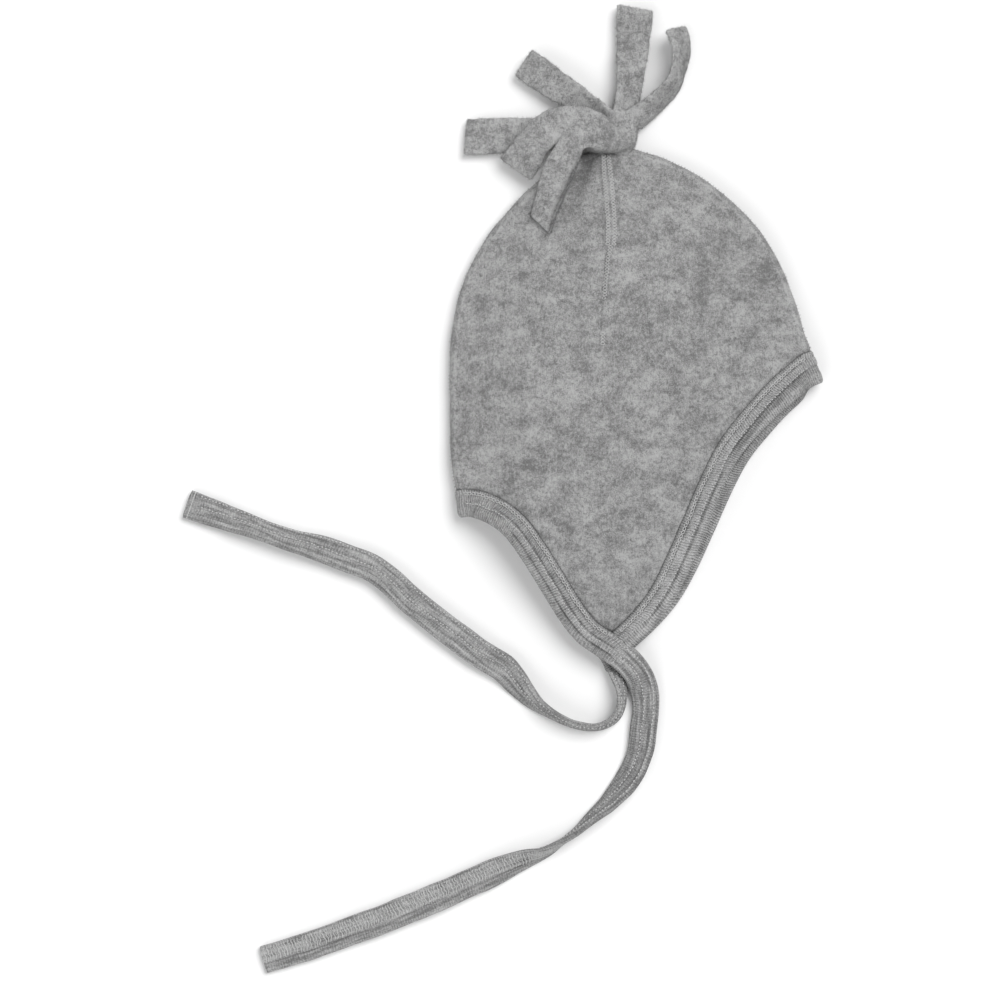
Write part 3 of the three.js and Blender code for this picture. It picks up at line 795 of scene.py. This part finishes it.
class HAT_OT_fleece(bpy.types.Operator):
    """Make the folded bag of fleece"""

    bl_idname = "hat.fleece"
    bl_label = "Fleece"

    def execute(self, context):
        sizes = context.scene.hat_sizes
        columns = np.r_[
            -TUCK / NECK_BAND, -0.35, np.linspace(0, 1, 216), 1.3, 1 + TUCK / FACE_BAND
        ]
        ways = ways_over(lower=44, fold=16, upper=136)
        around, way = np.meshgrid(columns, ways)
        way = trimmed(around, way, 0)
        smooth = fleece_middle(around, way)
        steps = np.linalg.norm(np.diff(smooth, axis=1), axis=-1)
        run = np.concatenate([np.zeros((len(ways), 1)), np.cumsum(steps, axis=1)], axis=1)
        from_neck = np.abs(run - run[:, 2:3])
        from_face = np.abs(run - run[:, -3:-2])
        relief, painted_shade = crown_relief(smooth, from_neck, from_face, way)
        down = np.clip(np.abs(way) - 1, 0, 1)
        low = np.where(way < -0.5, 0.25, 1) * ease((1 - down) / 0.04)
        relief *= sizes.crumple / MM * low * np.where((around < 0) | (around > 1), 0, 1)
        relief -= 0.35 * bell(np.minimum(from_neck, from_face), 1.6)
        points = fleece_point(around, way, relief)
        points[..., 2] = np.maximum(points[..., 2], WALL / 2 + 0.02)
        weave = np.stack([run, np.abs(way) * HEIGHT], -1) * MM
        piece = cloth_piece("crown_fleece", in_frame(points), weave, painted_shade)
        wall = piece.modifiers.new("wall", "SOLIDIFY")
        wall.thickness = WALL * MM
        wall.offset = 0
        wall.use_rim = True
        material = cloth_named("brushed fleece", fleece_finish, context.scene.hat_colours.fleece)
        finished(piece, material, "fleece", "crown")
        return {"FINISHED"}


# Width of each binding as it shows, in millimetres, from the fold down to the flap's tip.
WAY_DOWN = (0, 0.15, 0.3, 0.45, 0.6, 0.8, 0.9, 1)
BAND_WIDTHS = {
    ("face", 1): (16.0, 14.2, 12.6, 11.2, 11.8, 12.3, 12.0, 11.6),
    ("face", -1): (16.0, 15.0, 14.8, 14.6, 14.3, 13.6, 13.2, 12.8),
    ("neck", 1): (NECK_BAND,) * 8,
    ("neck", -1): (NECK_BAND,) * 8,
}

# Creases along the bindings: how far out from the inner edge at the fold, a third, two thirds
# and all the way down, how wide, how deep (shares of the groove; negative stands proud), and
# between which shares of the way down they show.
CREASES = {
    "face": [
        ((2.9, 3.0, 3.0, 3.0), 0.7, 0.9, -0.1, 0.3),
        ((3.0, 3.0, 3.0, 3.0), 0.7, 0.4, 0.25, 1.1),
        ((4.8, 4.8, 4.8, 4.6), 1.4, -0.35, -0.1, 1.1),
        ((7.4, 7.5, 7.5, 7.4), 0.7, 1.3, -0.1, 0.44),
        ((8.2, 8.2, 8.0, 7.6), 0.8, 0.7, 0.4, 0.95),
        ((9.2, 9.4, 9.2, 9.2), 2.6, 0.6, -0.1, 0.42),
        ((6.3, 6.3, 6.3, 6.2), 1.0, -0.5, -0.1, 1.1),
        ((9.6, 9.6, 9.6, 9.4), 1.3, -0.6, 0.4, 1.1),
        ((11.6, 11.4, 11, 11), 1.6, -0.6, -0.1, 0.5),
    ],
    "neck": [
        ((2.6, 2.6, 2.6, 2.6), 0.7, 0.35, 0.1, 1.1),
        ((7.4, 7.4, 7.4, 7.4), 0.6, 0.5, 0.02, 0.3),
        ((5.7, 5.7, 5.8, 5.8), 0.7, 0.6, 0.16, 1.1),
        ((7.4, 7.4, 7.4, 7.4), 1.2, -0.4, 0.25, 1.1),
        ((9.6, 9.6, 9.5, 9.4), 0.7, 0.7, 0.26, 1.1),
        ((8.7, 8.8, 8.8, 8.8), 0.6, -0.5, 0.7, 1.1),
    ],
}


def crease_relief(creases, out, down):
    relief = 0 * out
    for places, width, depth, first, last in creases:
        centre = np.interp(down, [0, 0.33, 0.66, 1], places)
        shown = ease((down - first) / 0.1) * ease((last - down) / 0.1)
        relief = relief - depth * shown * bell(out - centre, width)
    return relief


def shown_width(side, way):
    down = np.clip(np.abs(way) - 1, 0, 1)
    lower, upper = (np.interp(down, WAY_DOWN, BAND_WIDTHS[side, layer]) for layer in (-1, 1))
    return mix(lower, upper, ease((way + 1) / 2))


def binding_point(side, way, out, off):
    """A point of a binding: out from its inner edge and off the fleece's middle, in millimetres."""
    around = 1 + out / FACE_BAND if side == "face" else -out / NECK_BAND
    short_by = (2 if side == "face" else 1) * SEAT / EDGES[side].length
    return fleece_point(around, trimmed(around, way, short_by), off)


def binding_top(side, out, way, groove):
    """How high a binding's outside stands off the fleece's middle, and the shade painted on it."""
    half = WALL / 2 + SEAT + BAND_WALL
    width = shown_width(side, way)
    down = np.clip(np.abs(way) - 1, 0, 1)
    rise = (1 - 0.5 * (1 - ease(out / 1.2))) * (1 - 0.3 * ease((1.1 - np.abs(way)) / 0.14))
    into_rim = np.clip((out - width + BAND_RIM) / BAND_RIM, 0, 1)
    rim = np.sqrt(np.clip(1 - into_rim**2, 0, 1))
    relief = crease_relief(CREASES[side], out, down) * ease((width - out) / 1.6)
    relief = relief * (0.35 + 0.65 * ease((np.abs(way) - 0.98) / 0.08))
    bumps = rough(binding_point(side, way, out, 0 * out) * (1, 1, 0.5), 5, 6)
    relief = relief + 0.5 * bumps * ease(out / 2) * ease((width - out) / 2)
    # Painted shade in the grooves and along the inner edge where the binding meets the fleece, and a
    # painted highlight on the ridges.
    painted_shade = np.clip(-0.85 * relief, -0.5, 0.9) + 0.6 * bell(out, 0.6)
    return half * rise * rim + relief * groove, painted_shade * (0.55 + 0.45 * ease(np.abs(way) - 0.9))


def binding_section(side, ways, groove):
    """A binding's U-shaped section at each way: from the inner edge out over the top, back along
    the underside, and out and back again inside the slot that holds the fleece."""
    width = shown_width(side, ways)[:, None]
    flat, turn = np.linspace(0, 1, 44)[:-1], np.linspace(0, np.pi / 2, 8)
    outer = np.concatenate(
        [flat * (width - BAND_RIM), width - BAND_RIM + BAND_RIM * np.sin(turn)], axis=1
    )
    slot_end = np.minimum(TUCK + 2 * SEAT, width - 1.5)
    inner = TURN + (slot_end - TURN) * np.linspace(0, 1, 5)
    out = np.concatenate([outer, outer[:, -2::-1], inner, inner[:, ::-1], outer[:, :1]], axis=1)
    off, painted_shade = binding_top(side, out, np.broadcast_to(ways[:, None], out.shape), groove)
    under = outer.shape[1]
    slot_floor = 2 * under - 1
    slot_roof = slot_floor + inner.shape[1]
    off[:, under:slot_floor] *= -1
    off[:, slot_floor:slot_roof] = -(WALL / 2 + SEAT)
    off[:, slot_roof:-1] = WALL / 2 + SEAT
    return out, off, painted_shade


TIE_EXIT = plan_point(np.array(-0.5), np.array(1.0), np.array(1.0))


def tie_rows(route):
    return [
        (TIE_EXIT[0] + x, TIE_EXIT[1] + y, z, share * TIE_WIDTH, roll, 0)
        for x, y, z, share, roll in route
    ]


def run_into_tie(points, out, off, rows, layer):
    """More rows of the neck binding, which narrow down inside the start of a tie."""
    route = Route(np.array(rows)[:, :3])
    ahead = np.linspace(0.7, 15, 20)
    _, middle, _, side, above, _ = band_frame(rows, ahead / route.length)
    thin = (1 - 0.55 * ease(ahead / 15))[:, None]
    across = -(out - NECK_BAND / 2)[None] * (1 - 0.06 * ease(ahead / 12))[:, None]
    rise = layer * off * thin
    more = middle[:, None] + side[:, None] * across[..., None] + above[:, None] * rise[..., None]
    start = middle[0] + side[0] * across[0][:, None] + above[0] * (layer * off)[:, None]
    return more + (points[-1] - start)[None] * (1 - ease(ahead / 8))[:, None, None], ahead


def run_under_tie(points, middle, heading, layer):
    """More rows of the face binding, which pass under the start of a tie."""
    ahead = np.linspace(0.6, 5, 6)
    share = (ahead / 5)[:, None, None]
    more = middle + (points - middle) * (1 - 0.45 * share) + heading * ahead[:, None, None]
    return more - UP * layer * 0.5 * share, ahead


class HAT_OT_bindings(bpy.types.Operator):
    """Make the ribbed bindings round the face and the neck"""

    bl_idname = "hat.bindings"
    bl_label = "Bindings"

    def execute(self, context):
        sizes, colours = context.scene.hat_sizes, context.scene.hat_colours
        material = cloth_named("ribbed knit", knit_finish, colours.knit, sizes.rib_pitch, 1)
        for side in EDGES:
            points, weave, painted_shade = self.sheet(side, sizes.groove / MM)
            piece = cloth_piece(
                f"{side}_binding_knit", in_frame(points), weave, painted_shade, closed=True
            )
            finished(piece, material, "rib_knit", f"{side}_binding")
        return {"FINISHED"}

    def sheet(self, side, groove):
        """Points of a binding and of its run on at each flap's tip, its UV map and its painted shade.
        """
        edge, ways = EDGES[side], ways_over(lower=70, fold=20, upper=190)
        out, off, painted_shade = binding_section(side, ways, groove)
        way = np.broadcast_to(ways[:, None], out.shape)
        points = binding_point(side, way, out, off)
        along = np.where(np.abs(ways) > 1, np.sign(ways) * (np.abs(ways) - 1) * edge.length, 0)
        along = along + np.clip(ways, -1, 1) * HALF_FOLD
        for _, route, _, layer, _ in TIES:
            # The lower layer's rows are turned round while it gets its end, and then turned back.
            points, painted_shade, along = points[::layer], painted_shade[::layer], along[::layer]
            last_out = out[::layer][-1]
            if side == "neck":
                last_off = off[::layer][-1]
                more, ahead = run_into_tie(points, last_out, last_off, tie_rows(route), layer)
            else:
                middle = binding_point(side, way[::layer][-1], last_out, 0 * last_out)
                heading = edge.heading(np.array(1.0))
                more, ahead = run_under_tie(points[-1], middle, heading, layer)
            more_painted_shade = np.repeat(painted_shade[-1:], len(ahead), 0)
            more_along = layer * (edge.length + HALF_FOLD + ahead)
            points = np.concatenate([points, more])[::layer]
            painted_shade = np.concatenate([painted_shade, more_painted_shade])[::layer]
            along = np.concatenate([along, more_along])[::layer]
        round_it = np.concatenate([[0], np.cumsum(np.abs(np.diff(out[0])) + 0.2)])
        return points, laid_out(along, round_it), painted_shade


# Lengthwise creases of the ties: place across, width, depth in shares of the groove, and how far
# they wander. The front shows two stitched rows, and the back the flat seam between two grooves.
TIE_FRONT = [
    (0.36, 0.1, 0.6, 1.0), (0.62, 0.16, -0.5, 0.4), (0.15, 0.2, -0.3, 1.0),
    (-0.1, 0.08, 0.4, 0.4), (-0.38, 0.22, -0.3, 1.0), (-0.6, 0.1, 0.5, 1.0),
    (0.82, 0.06, 0.5, 0.2), (-0.86, 0.1, -0.3, 0.2),
]
TIE_BACK = [
    (-0.26, 0.09, 1.3, 0.1), (-0.16, 0.07, -0.8, 0.1), (0.9, 0.07, 1.1, 0.1),
    (-0.6, 0.42, 0.5, 0.2), (-0.5, 0.12, 0.4, 1.0), (0.35, 0.5, -0.35, 0.0),
]


def tie_relief(across, thick, share, phase):
    wave = 0.1 * np.sin(share * 31 + phase) + 0.07 * np.sin(share * 73 + 2 * phase)
    front, back = (
        sum(
            -depth * bell(across - place - wander * wave, width)
            for place, width, depth, wander in rows
        )
        for rows in (TIE_FRONT, TIE_BACK)
    )
    return np.where(thick >= 0, front, back) * (1 - np.abs(across) ** 8)


def tie_surface(rows, shares, across, thick, phase, groove):
    """Points of a tie, the shade painted in its creases, and its route."""
    route, middle, along, side, above, extras = band_frame(rows, shares)
    relief = tie_relief(across, thick, shares[:, None], phase)
    height = thick * TIE_THICKNESS / 2 + np.sign(thick) * relief * groove * 0.6
    width, curl = extras[:, 0], np.radians(extras[:, 2])
    points = band_points(middle, side, above, width, curl, across, height)
    points = points + 0.3 * rough(points, 8, 8)[..., None] * above[:, None]
    points = points + 0.45 * rough(points, 11, 9)[..., None] * side[:, None]
    # Painted shade in the grooves, and a painted highlight on the ridges.
    return points, np.clip(-0.5 * relief, -0.4, 0.8), route, along, above


class HAT_OT_ties(bpy.types.Operator):
    """Make the two long ties"""

    bl_idname = "hat.ties"
    bl_label = "Ties"

    def execute(self, context):
        sizes, colours = context.scene.hat_sizes, context.scene.hat_colours
        material = cloth_named("pressed knit", knit_finish, colours.knit, sizes.rib_pitch, 0.5)
        shares = np.linspace(0, 1, sizes.band_stations)
        across, thick = rounded_section(count=60, power=5)
        front, back = NECK_BAND / 2 * (1 - across), BACK_WEAVE + NECK_BAND / 2 * (1 + across)
        round_it = np.where(thick >= 0, front, back)
        for name, source, phase, layer, rib_wear_and_front_darkening in TIES:
            points, painted_shade, route, along, _ = tie_surface(
                tie_rows(source), shares, across[None], thick[None], phase, sizes.groove / MM
            )
            # The front is darkened: the knit's own darker face, with painted shade added on the upper
            # tie.
            painted_shade = painted_shade + rib_wear_and_front_darkening * (thick >= 0) * ease(shares * 9)[:, None]
            run = shares * route.length
            for end, way in ((0, -1), (-1, 1)):
                at = 0 if end == 0 else len(points)
                centre = points[end].mean(0)
                cap = centre + (points[end] - centre) * 0.72 + along[end] * way * TIE_CAP
                points = np.insert(points, at, cap, axis=0)
                painted_shade = np.insert(painted_shade, at, painted_shade[end], axis=0)
                run = np.insert(run, at, run[end] + way * TIE_CAP)
            weave = laid_out(layer * (run + NECK.length + HALF_FOLD), round_it)
            piece = cloth_piece(f"tie_{name}_knit", in_frame(points), weave, painted_shade, closed=True)
            finished(piece, material, "tie_knit", f"tie_{name}")
            path = in_frame(route.at(np.linspace(0, 1, 120)))
        return {"FINISHED"}


class HAT_OT_topknot(bpy.types.Operator):
    """Make the knotted strips on the crown"""

    bl_idname = "hat.topknot"
    bl_label = "Topknot"

    def execute(self, context):
        made = cloth_bmesh()
        for number, (name, rows) in enumerate(STRIPS.items()):
            points = in_frame(self.strip(rows, number, *STRIP_ENDS[name]) + MIDDLE)
            blank = np.zeros((*points.shape[:2], 2))
            strip = cloth_piece(f"strip_{name}", points, blank, blank[..., 0], closed=True)
            mesh = strip.data
            made.from_mesh(mesh)
            bpy.data.objects.remove(strip)
            bpy.data.meshes.remove(mesh)
        for place, size in KNOT_CORES:
            core = Matrix.LocRotScale(Vector(place) * MM, None, Vector(size) * MM / 2)
            bmesh.ops.create_uvsphere(made, u_segments=28, v_segments=16, radius=1, matrix=core)
        piece = as_object("topknot_fleece", made)
        fused = piece.modifiers.new("fused", "REMESH")
        fused.mode = "VOXEL"
        fused.voxel_size = KNOT_FACETS
        fused.use_smooth_shade = True
        soft = piece.modifiers.new("soft", "SMOOTH")
        soft.factor = 0.5
        soft.iterations = 1
        # A paler copy of the fleece: painted light on the topknot's strips.
        grey = shaded(context.scene.hat_colours.fleece, 1.08)
        finished(piece, cloth_named("cut fleece", fleece_finish, grey), "fleece", "topknot")
        return {"FINISHED"}

    def strip(self, rows, number, skew, turned_up):
        """Points of one strip, from its cut end into the knot."""
        across, thick = rounded_section(count=44, power=9)
        shares = np.linspace(0, 1, 90)
        _, middle, along, side, above, extras = band_frame(rows, shares)
        width, curl = extras[:, 0], np.radians(extras[:, 2])
        height = np.broadcast_to(thick * STRIP_THICKNESS / 2, (len(shares), len(thick)))
        points = band_points(middle, side, above, width, curl, across[None], height)
        near_end = ease(1.6 - 1.6 * shares)[:, None]
        lift = turned_up * np.clip((-across - 0.5) / 0.5, 0, 1) ** 1.6 * near_end
        lift = lift - 0.25 * turned_up * bell(across + 0.38, 0.26) * near_end
        points = points + above[:, None] * lift[..., None] + side[:, None] * 0.6 * lift[..., None]
        cut = skew * across[None] * np.exp(-(shares[:, None] / 0.2) ** 2)
        points = points + along[:, None] * cut[..., None]
        centre = points[0].mean(0)
        cap = centre + (points[0] - centre) * 0.9 - along[0] * 0.45
        points = np.insert(points, 0, cap, axis=0)
        upwards, sideways = (np.insert(ways, 0, ways[0], 0)[:, None] for ways in (above, side))
        for size, depth, seed in STRIP_BUMPS:
            points = points + depth * rough(points, size, seed + number)[..., None] * upwards
            points = points + depth * rough(points, size, seed + 7 + number)[..., None] * sideways
        return points


# Stitches, in millimetres along, across and above the cloth.
CHAIN_LOOP = [
    (-1.0, 0.0, 0.0), (-0.4, 0.5, 0.2), (0.4, 0.62, 0.26), (0.82, 0.26, 0.22),
    (0.82, -0.26, 0.22), (0.4, -0.62, 0.26), (-0.4, -0.5, 0.2),
]
LADDER = [
    (0, -3.3, -0.1), (0.45, -2.376, 0.2), (0, -1.155, 0.22), (0.45, 0.165, 0.22),
    (0, 1.32, 0.22), (0.5, 2.574, 0.2), (0.9, 3.3, -0.1),
]
LADDER_PITCH = 1.7
DART_LOOP = [(x * 0.68, y * 1.5, z) for x, y, z in CHAIN_LOOP]
END_ROW = 0.993  # share of the lower tie at which a row of stitches crosses it
END_STITCH = 0.0014  # length of that row's stitches, in metres
STITCH_RISE = 0.5  # how far a stitch stands off the cloth, so how far it is pressed in on the table
THREAD_SIDES = 5
BATCH = 60  # stitches or fibres put together at a time, which is much quicker than all at once


def stitch_shape(points, thread, closed):
    """A bent thread through points in millimetres."""
    points = np.array(points, float) * MM
    ahead, behind = np.roll(points, -1, axis=0), np.roll(points, 1, axis=0)
    if not closed:
        ahead[-1], behind[0] = points[-1], points[0]
    along = unit(ahead - behind)
    side = unit(np.cross(along, UP + 1e-6))
    above = np.cross(side, along)
    made = bmesh.new()
    rows = len(points) - 1 + closed
    bmesh.ops.create_grid(made, x_segments=THREAD_SIDES, y_segments=rows, size=1)
    for v in made.verts:
        turn = round((v.co.x + 1) / 2 * THREAD_SIDES) / THREAD_SIDES * 2 * math.pi
        i = round((v.co.y + 1) / 2 * rows) % len(points)
        v.co = points[i] + thread / 2 * (math.cos(turn) * side[i] + math.sin(turn) * above[i])
    close_up(made, 1e-8)
    return as_stitch(made)


def bead_shape(length, thread):
    """A short straight stitch, half sunk in the cloth."""
    made = bmesh.new()
    size = Matrix.Diagonal((length / 2, thread * 0.75, thread * 0.6, 1))
    bmesh.ops.create_uvsphere(made, u_segments=6, v_segments=5, radius=1, matrix=size)
    return as_stitch(made)


def as_stitch(made):
    for face in made.faces:
        face.smooth = True
    return as_mesh("stitch", made)


def seat(place, ahead, beyond):
    """Where a stitch lies: at a place, its length towards the point ahead and its top beyond."""
    above = (Vector(beyond) - Vector(place)).normalized()
    along = Vector(ahead) - Vector(place)
    along = (along - above * along.dot(above)).normalized()
    turn = Matrix((along, above.cross(along), above)).transposed().to_4x4()
    return Matrix.Translation(place) @ turn


def scatter(made, shape, seats):
    """Adds a copy of a small shape in each seat, a batch at a time."""
    for first in range(0, len(seats), BATCH):
        batch = bmesh.new()
        for place in seats[first:first + BATCH]:
            before = len(batch.verts)
            batch.from_mesh(shape)
            batch.verts.ensure_lookup_table()
            bmesh.ops.transform(batch, matrix=place, verts=batch.verts[before:])
        mesh = as_stitch(batch)
        made.from_mesh(mesh)
        bpy.data.meshes.remove(mesh)


class HAT_OT_stitches(bpy.types.Operator):
    """Sew the seams: the dart on the crown, the rows along the bindings and those of the ties"""

    bl_idname = "hat.stitches"
    bl_label = "Stitches"

    def execute(self, context):
        sizes, grey = context.scene.hat_sizes, context.scene.hat_colours.thread
        self.groove, self.pitch, self.thread = sizes.groove / MM, sizes.stitch / MM, sizes.thread
        self.uneven = np.random.default_rng(3)
        self.chain = stitch_shape(CHAIN_LOOP, sizes.thread, True)
        self.bead = bead_shape(sizes.stitch * 0.66, sizes.thread)
        for sew, name, shade, slot in (
            (self.bindings, "sewing thread", 1, "rib_knit"),
            (self.ties, "tie thread", 1.02, "tie_knit"),
            (self.dart, "dart thread", 1.06, "fleece"),
        ):
            thread = cloth_named(name, thread_finish, shaded(grey, shade))
            finished(sew(), thread, slot)
        return {"FINISHED"}

    def bindings(self):
        made = bmesh.new()
        # side, inset from the inner edge, shape, share of the way down that the row ends at
        for side, inset, shape, last in (
            ("face", 2.3, self.chain, 1), ("neck", 1.9, self.chain, 1),
            ("face", 6.9, self.bead, 0.93), ("neck", 6.7, self.bead, 1),
        ):
            count = int(EDGES[side].length * last / self.pitch)
            for layer in (-1, 1):
                even = 1 + np.linspace(0.01, 0.99 * last, count)
                way = layer * (even + self.uneven.uniform(-0.12, 0.12, count) / count)
                out = inset + 0.2 * np.sin(way * 40) + self.uneven.normal(0, 0.1, count)
                off = binding_top(side, out, way, self.groove)[0] + 0.08
                spots = np.stack([
                    binding_point(side, way + nudge, out, off + lift)
                    for nudge, lift in ((0, 0), (0.004 * layer, 0), (0, 1))
                ], 1)
                pressed_in = np.maximum(STITCH_RISE - spots[:, 0, 2], 0)
                spots[..., 2] += pressed_in[:, None]
                scatter(made, shape, [seat(*spot) for spot in (spots - MIDDLE) * MM])
        return as_object("binding_stitches", made)

    def on_tie(self, table, phase, face, across, shares):
        """Places along a line on the face of a tie, and the ways ahead and up from there."""
        thick = np.full((1, 1), face * math.sqrt(1 - abs(across) ** 5))
        here, _, _, along, above = tie_surface(
            table, shares, np.array([[across]]), thick, phase, self.groove
        )
        return here[:, 0], along, above

    def ties(self):
        made = bmesh.new()
        ladder = stitch_shape(LADDER, self.thread, False)
        upper, lower = tie_rows(UPPER_TIE), tie_rows(LOWER_TIE)
        # route, phase, face, place across, shape, first and last share, pitch
        for table, phase, face, across, shape, first, last, pitch in (
            (upper, UPPER_PHASE, 1, 0.62, self.bead, 0.02, 0.5, self.pitch),
            (upper, UPPER_PHASE, 1, -0.1, self.bead, 0.02, 0.5, self.pitch),
            (upper, UPPER_PHASE, -1, 0.33, ladder, 0.5, 0.995, LADDER_PITCH),
            (lower, LOWER_PHASE, 1, -0.06, self.bead, 0.06, 0.985, self.pitch),
            (lower, LOWER_PHASE, 1, -0.8, self.bead, 0.06, 0.985, self.pitch),
        ):
            length = Route(np.array(table)[:, :3]).length
            shares = np.arange(first, last, pitch / length)
            here, along, above = self.on_tie(table, phase, face, across, shares)
            here = here + above * face * 0.05 + self.uneven.normal(0, 0.12, here.shape)
            along = along + self.uneven.normal(0, 0.12, along.shape)
            spots = zip(in_frame(here), along, above * face)
            scatter(made, shape, [seat(p, p + a * MM, p + n * MM) for p, a, n in spots])
        end, seats = np.array([END_ROW]), []
        _, _, _, side, _, _ = band_frame(lower, end)
        for across in np.linspace(-0.9, 0.9, 12):
            here, _, above = self.on_tie(lower, LOWER_PHASE, 1, across, end)
            place = in_frame(here + above * 0.05)[0]
            seats.append(seat(place, place + side[0] * MM, place + above[0] * MM))
        scatter(made, bead_shape(END_STITCH, self.thread), seats)
        return as_object("tie_stitches", made)

    def dart(self):
        skin = bmesh.new()
        skin.from_mesh(bpy.data.objects["crown_fleece"].data)
        tree = BVHTree.FromBMesh(skin)
        skin.free()
        seam = Route([(x, y, 0) for x, y in DART])
        seats = []
        for share in np.arange(0.01, 1, DART_PITCH / seam.length):
            spot = seam.at(np.array(share))
            if DART_HIDDEN[0] <= spot[1] <= DART_HIDDEN[1]:
                continue
            heading = seam.heading(seam.when(np.array(share)))
            leftwards = np.array([-heading[1], heading[0], 0])
            for sideways in (DART_APART, -DART_APART) if spot[1] > DART_COLUMNS else (0,):
                over = Vector(spot + leftwards * sideways) * MM + Vector((0, 0, 0.1))
                place, above, _, _ = tree.ray_cast(over, Vector((0, 0, -1)))
                if place is None:
                    raise RuntimeError("a stitch of the dart missed the fleece")
                above = above if above.z > 0 else -above
                place = place + above * (WALL / 2 + 0.06) * MM
                seats.append(seat(place, place + Vector(heading), place + above))
        made = bmesh.new()
        scatter(made, stitch_shape(DART_LOOP, self.thread * 0.9, True), seats)
        return as_object("dart_stitches", made)


FIBRES_FROM = 0.0016  # no fibre starts nearer to the table than this, in metres


class HAT_OT_nap(bpy.types.Operator):
    """Raise the fine fibres that stand off the fleece, most of them at its edges"""

    bl_idname = "hat.nap"
    bl_label = "Nap"

    def execute(self, context):
        sizes = context.scene.hat_sizes
        material = cloth_named("brushed fleece", fleece_finish, context.scene.hat_colours.fleece)
        chance = np.random.default_rng(8)
        fibre = bmesh.new()
        bmesh.ops.create_cone(
            fibre, cap_ends=True, cap_tris=True, segments=3, radius1=sizes.fibre / 15, radius2=0,
            depth=sizes.fibre, matrix=Matrix.Translation((0, 0, sizes.fibre / 2)),
        )
        shape = as_stitch(fibre)
        graph = context.evaluated_depsgraph_get()
        for name in ("crown_fleece", "topknot_fleece"):
            mesh = bpy.data.objects[name].evaluated_get(graph).data
            places, normals = np.empty(len(mesh.vertices) * 3), np.empty(len(mesh.vertices) * 3)
            mesh.vertices.foreach_get("co", places)
            mesh.vertex_normals.foreach_get("vector", normals)
            places, normals = places.reshape(-1, 3), normals.reshape(-1, 3)
            edgewise = np.exp(-(normals[:, 2] / 0.5) ** 2) + 0.04
            weight = np.where(places[:, 2] > FIBRES_FROM, edgewise, 0)
            chosen = chance.choice(len(places), sizes.fibres, p=weight / weight.sum())
            seats = [
                Matrix.LocRotScale(
                    Vector(place + chance.uniform(-0.0002, 0.0002, 3)),
                    Vector(normal + chance.normal(0, 0.55, 3)).to_track_quat("Z", "Y"),
                    Vector((1, 1, chance.uniform(0.4, 1.3))),
                )
                for place, normal in zip(places[chosen], normals[chosen])
            ]
            made = bmesh.new()
            scatter(made, shape, seats)
            finished(as_object(f"{name}_nap", made), material, "fleece")
        return {"FINISHED"}


VIEW_MIDDLE = (-0.06398, -0.08024, 0)  # the place in the middle of the picture, in metres
SENSOR = 36  # width of the camera's sensor, in its millimetres
# Lights: name, angle that each spreads over, where it comes from and its height, in degrees.
LIGHTS = (("key", 44, 45, 52), ("soft light", 80, 225, 23))


class HAT_OT_stage(bpy.types.Operator):
    """Set the floor, the soft light and the camera over the lying hat"""

    bl_idname = "hat.stage"
    bl_label = "Stage"

    def execute(self, context):
        scene = context.scene
        stage = scene.hat_stage
        scene.view_settings.view_transform = "Standard"
        made = bmesh.new()
        bmesh.ops.create_grid(made, x_segments=1, y_segments=1, size=3)
        bmesh.ops.translate(made, verts=made.verts, vec=(0, 0, -0.0002))
        floor = as_object("floor", made)
        floor.data.materials.append(cloth_named("pale floor", floor_finish, scene.hat_colours.floor))

        camera = bpy.data.objects.new("camera", bpy.data.cameras.new("camera"))
        camera.location = Vector(VIEW_MIDDLE) + Vector((0, 0, stage.camera_height))
        camera.data.sensor_width = SENSOR
        camera.data.lens = SENSOR * stage.camera_height / stage.view_width
        scene.collection.objects.link(camera)
        scene.camera = camera

        for (name, spread, turn, height), strength in zip(LIGHTS, (stage.key, stage.soft)):
            light = bpy.data.objects.new(name, bpy.data.lights.new(name, "SUN"))
            light.data.energy = strength
            light.data.angle = math.radians(spread)
            light.rotation_euler = (0, math.radians(90 - height), math.radians(turn))
            scene.collection.objects.link(light)

        world = scene.world or bpy.data.worlds.new("studio")
        scene.world = world
        world.use_nodes = True
        background = world.node_tree.nodes["Background"]
        background.inputs["Color"].default_value = (1, 1, 1, 1)
        background.inputs["Strength"].default_value = stage.fill
        return {"FINISHED"}


class HAT_PT_panel(bpy.types.Panel):
    bl_label = "Baby Helmet Hat"
    bl_space_type = "VIEW_3D"
    bl_region_type = "UI"
    bl_category = "Hat"

    def draw(self, context):
        scene = context.scene
        for group in (scene.hat_sizes, scene.hat_colours, scene.hat_stage):
            box = self.layout.box()
            for name in group.__annotations__:
                box.prop(group, name)
        for operator in OPERATORS:
            self.layout.operator(operator.bl_idname)


OPERATORS = (
    HAT_OT_stage, HAT_OT_ties, HAT_OT_fleece, HAT_OT_bindings, HAT_OT_topknot, HAT_OT_stitches,
    HAT_OT_nap,
)
CLASSES = (HatSizes, HatColours, StageSettings, *OPERATORS, HAT_PT_panel)


def register():
    for made in CLASSES:
        bpy.utils.register_class(made)
    bpy.types.Scene.hat_sizes = PointerProperty(type=HatSizes)
    bpy.types.Scene.hat_colours = PointerProperty(type=HatColours)
    bpy.types.Scene.hat_stage = PointerProperty(type=StageSettings)


def unregister():
    del bpy.types.Scene.hat_stage
    del bpy.types.Scene.hat_colours
    del bpy.types.Scene.hat_sizes
    for made in reversed(CLASSES):
        bpy.utils.unregister_class(made)


def main():
    register()
    bpy.ops.hat.stage()
    bpy.ops.hat.ties()
    bpy.ops.hat.fleece()
    bpy.ops.hat.bindings()
    bpy.ops.hat.topknot()
    bpy.ops.hat.stitches()
    bpy.ops.hat.nap()


if __name__ == "__main__":
    main()
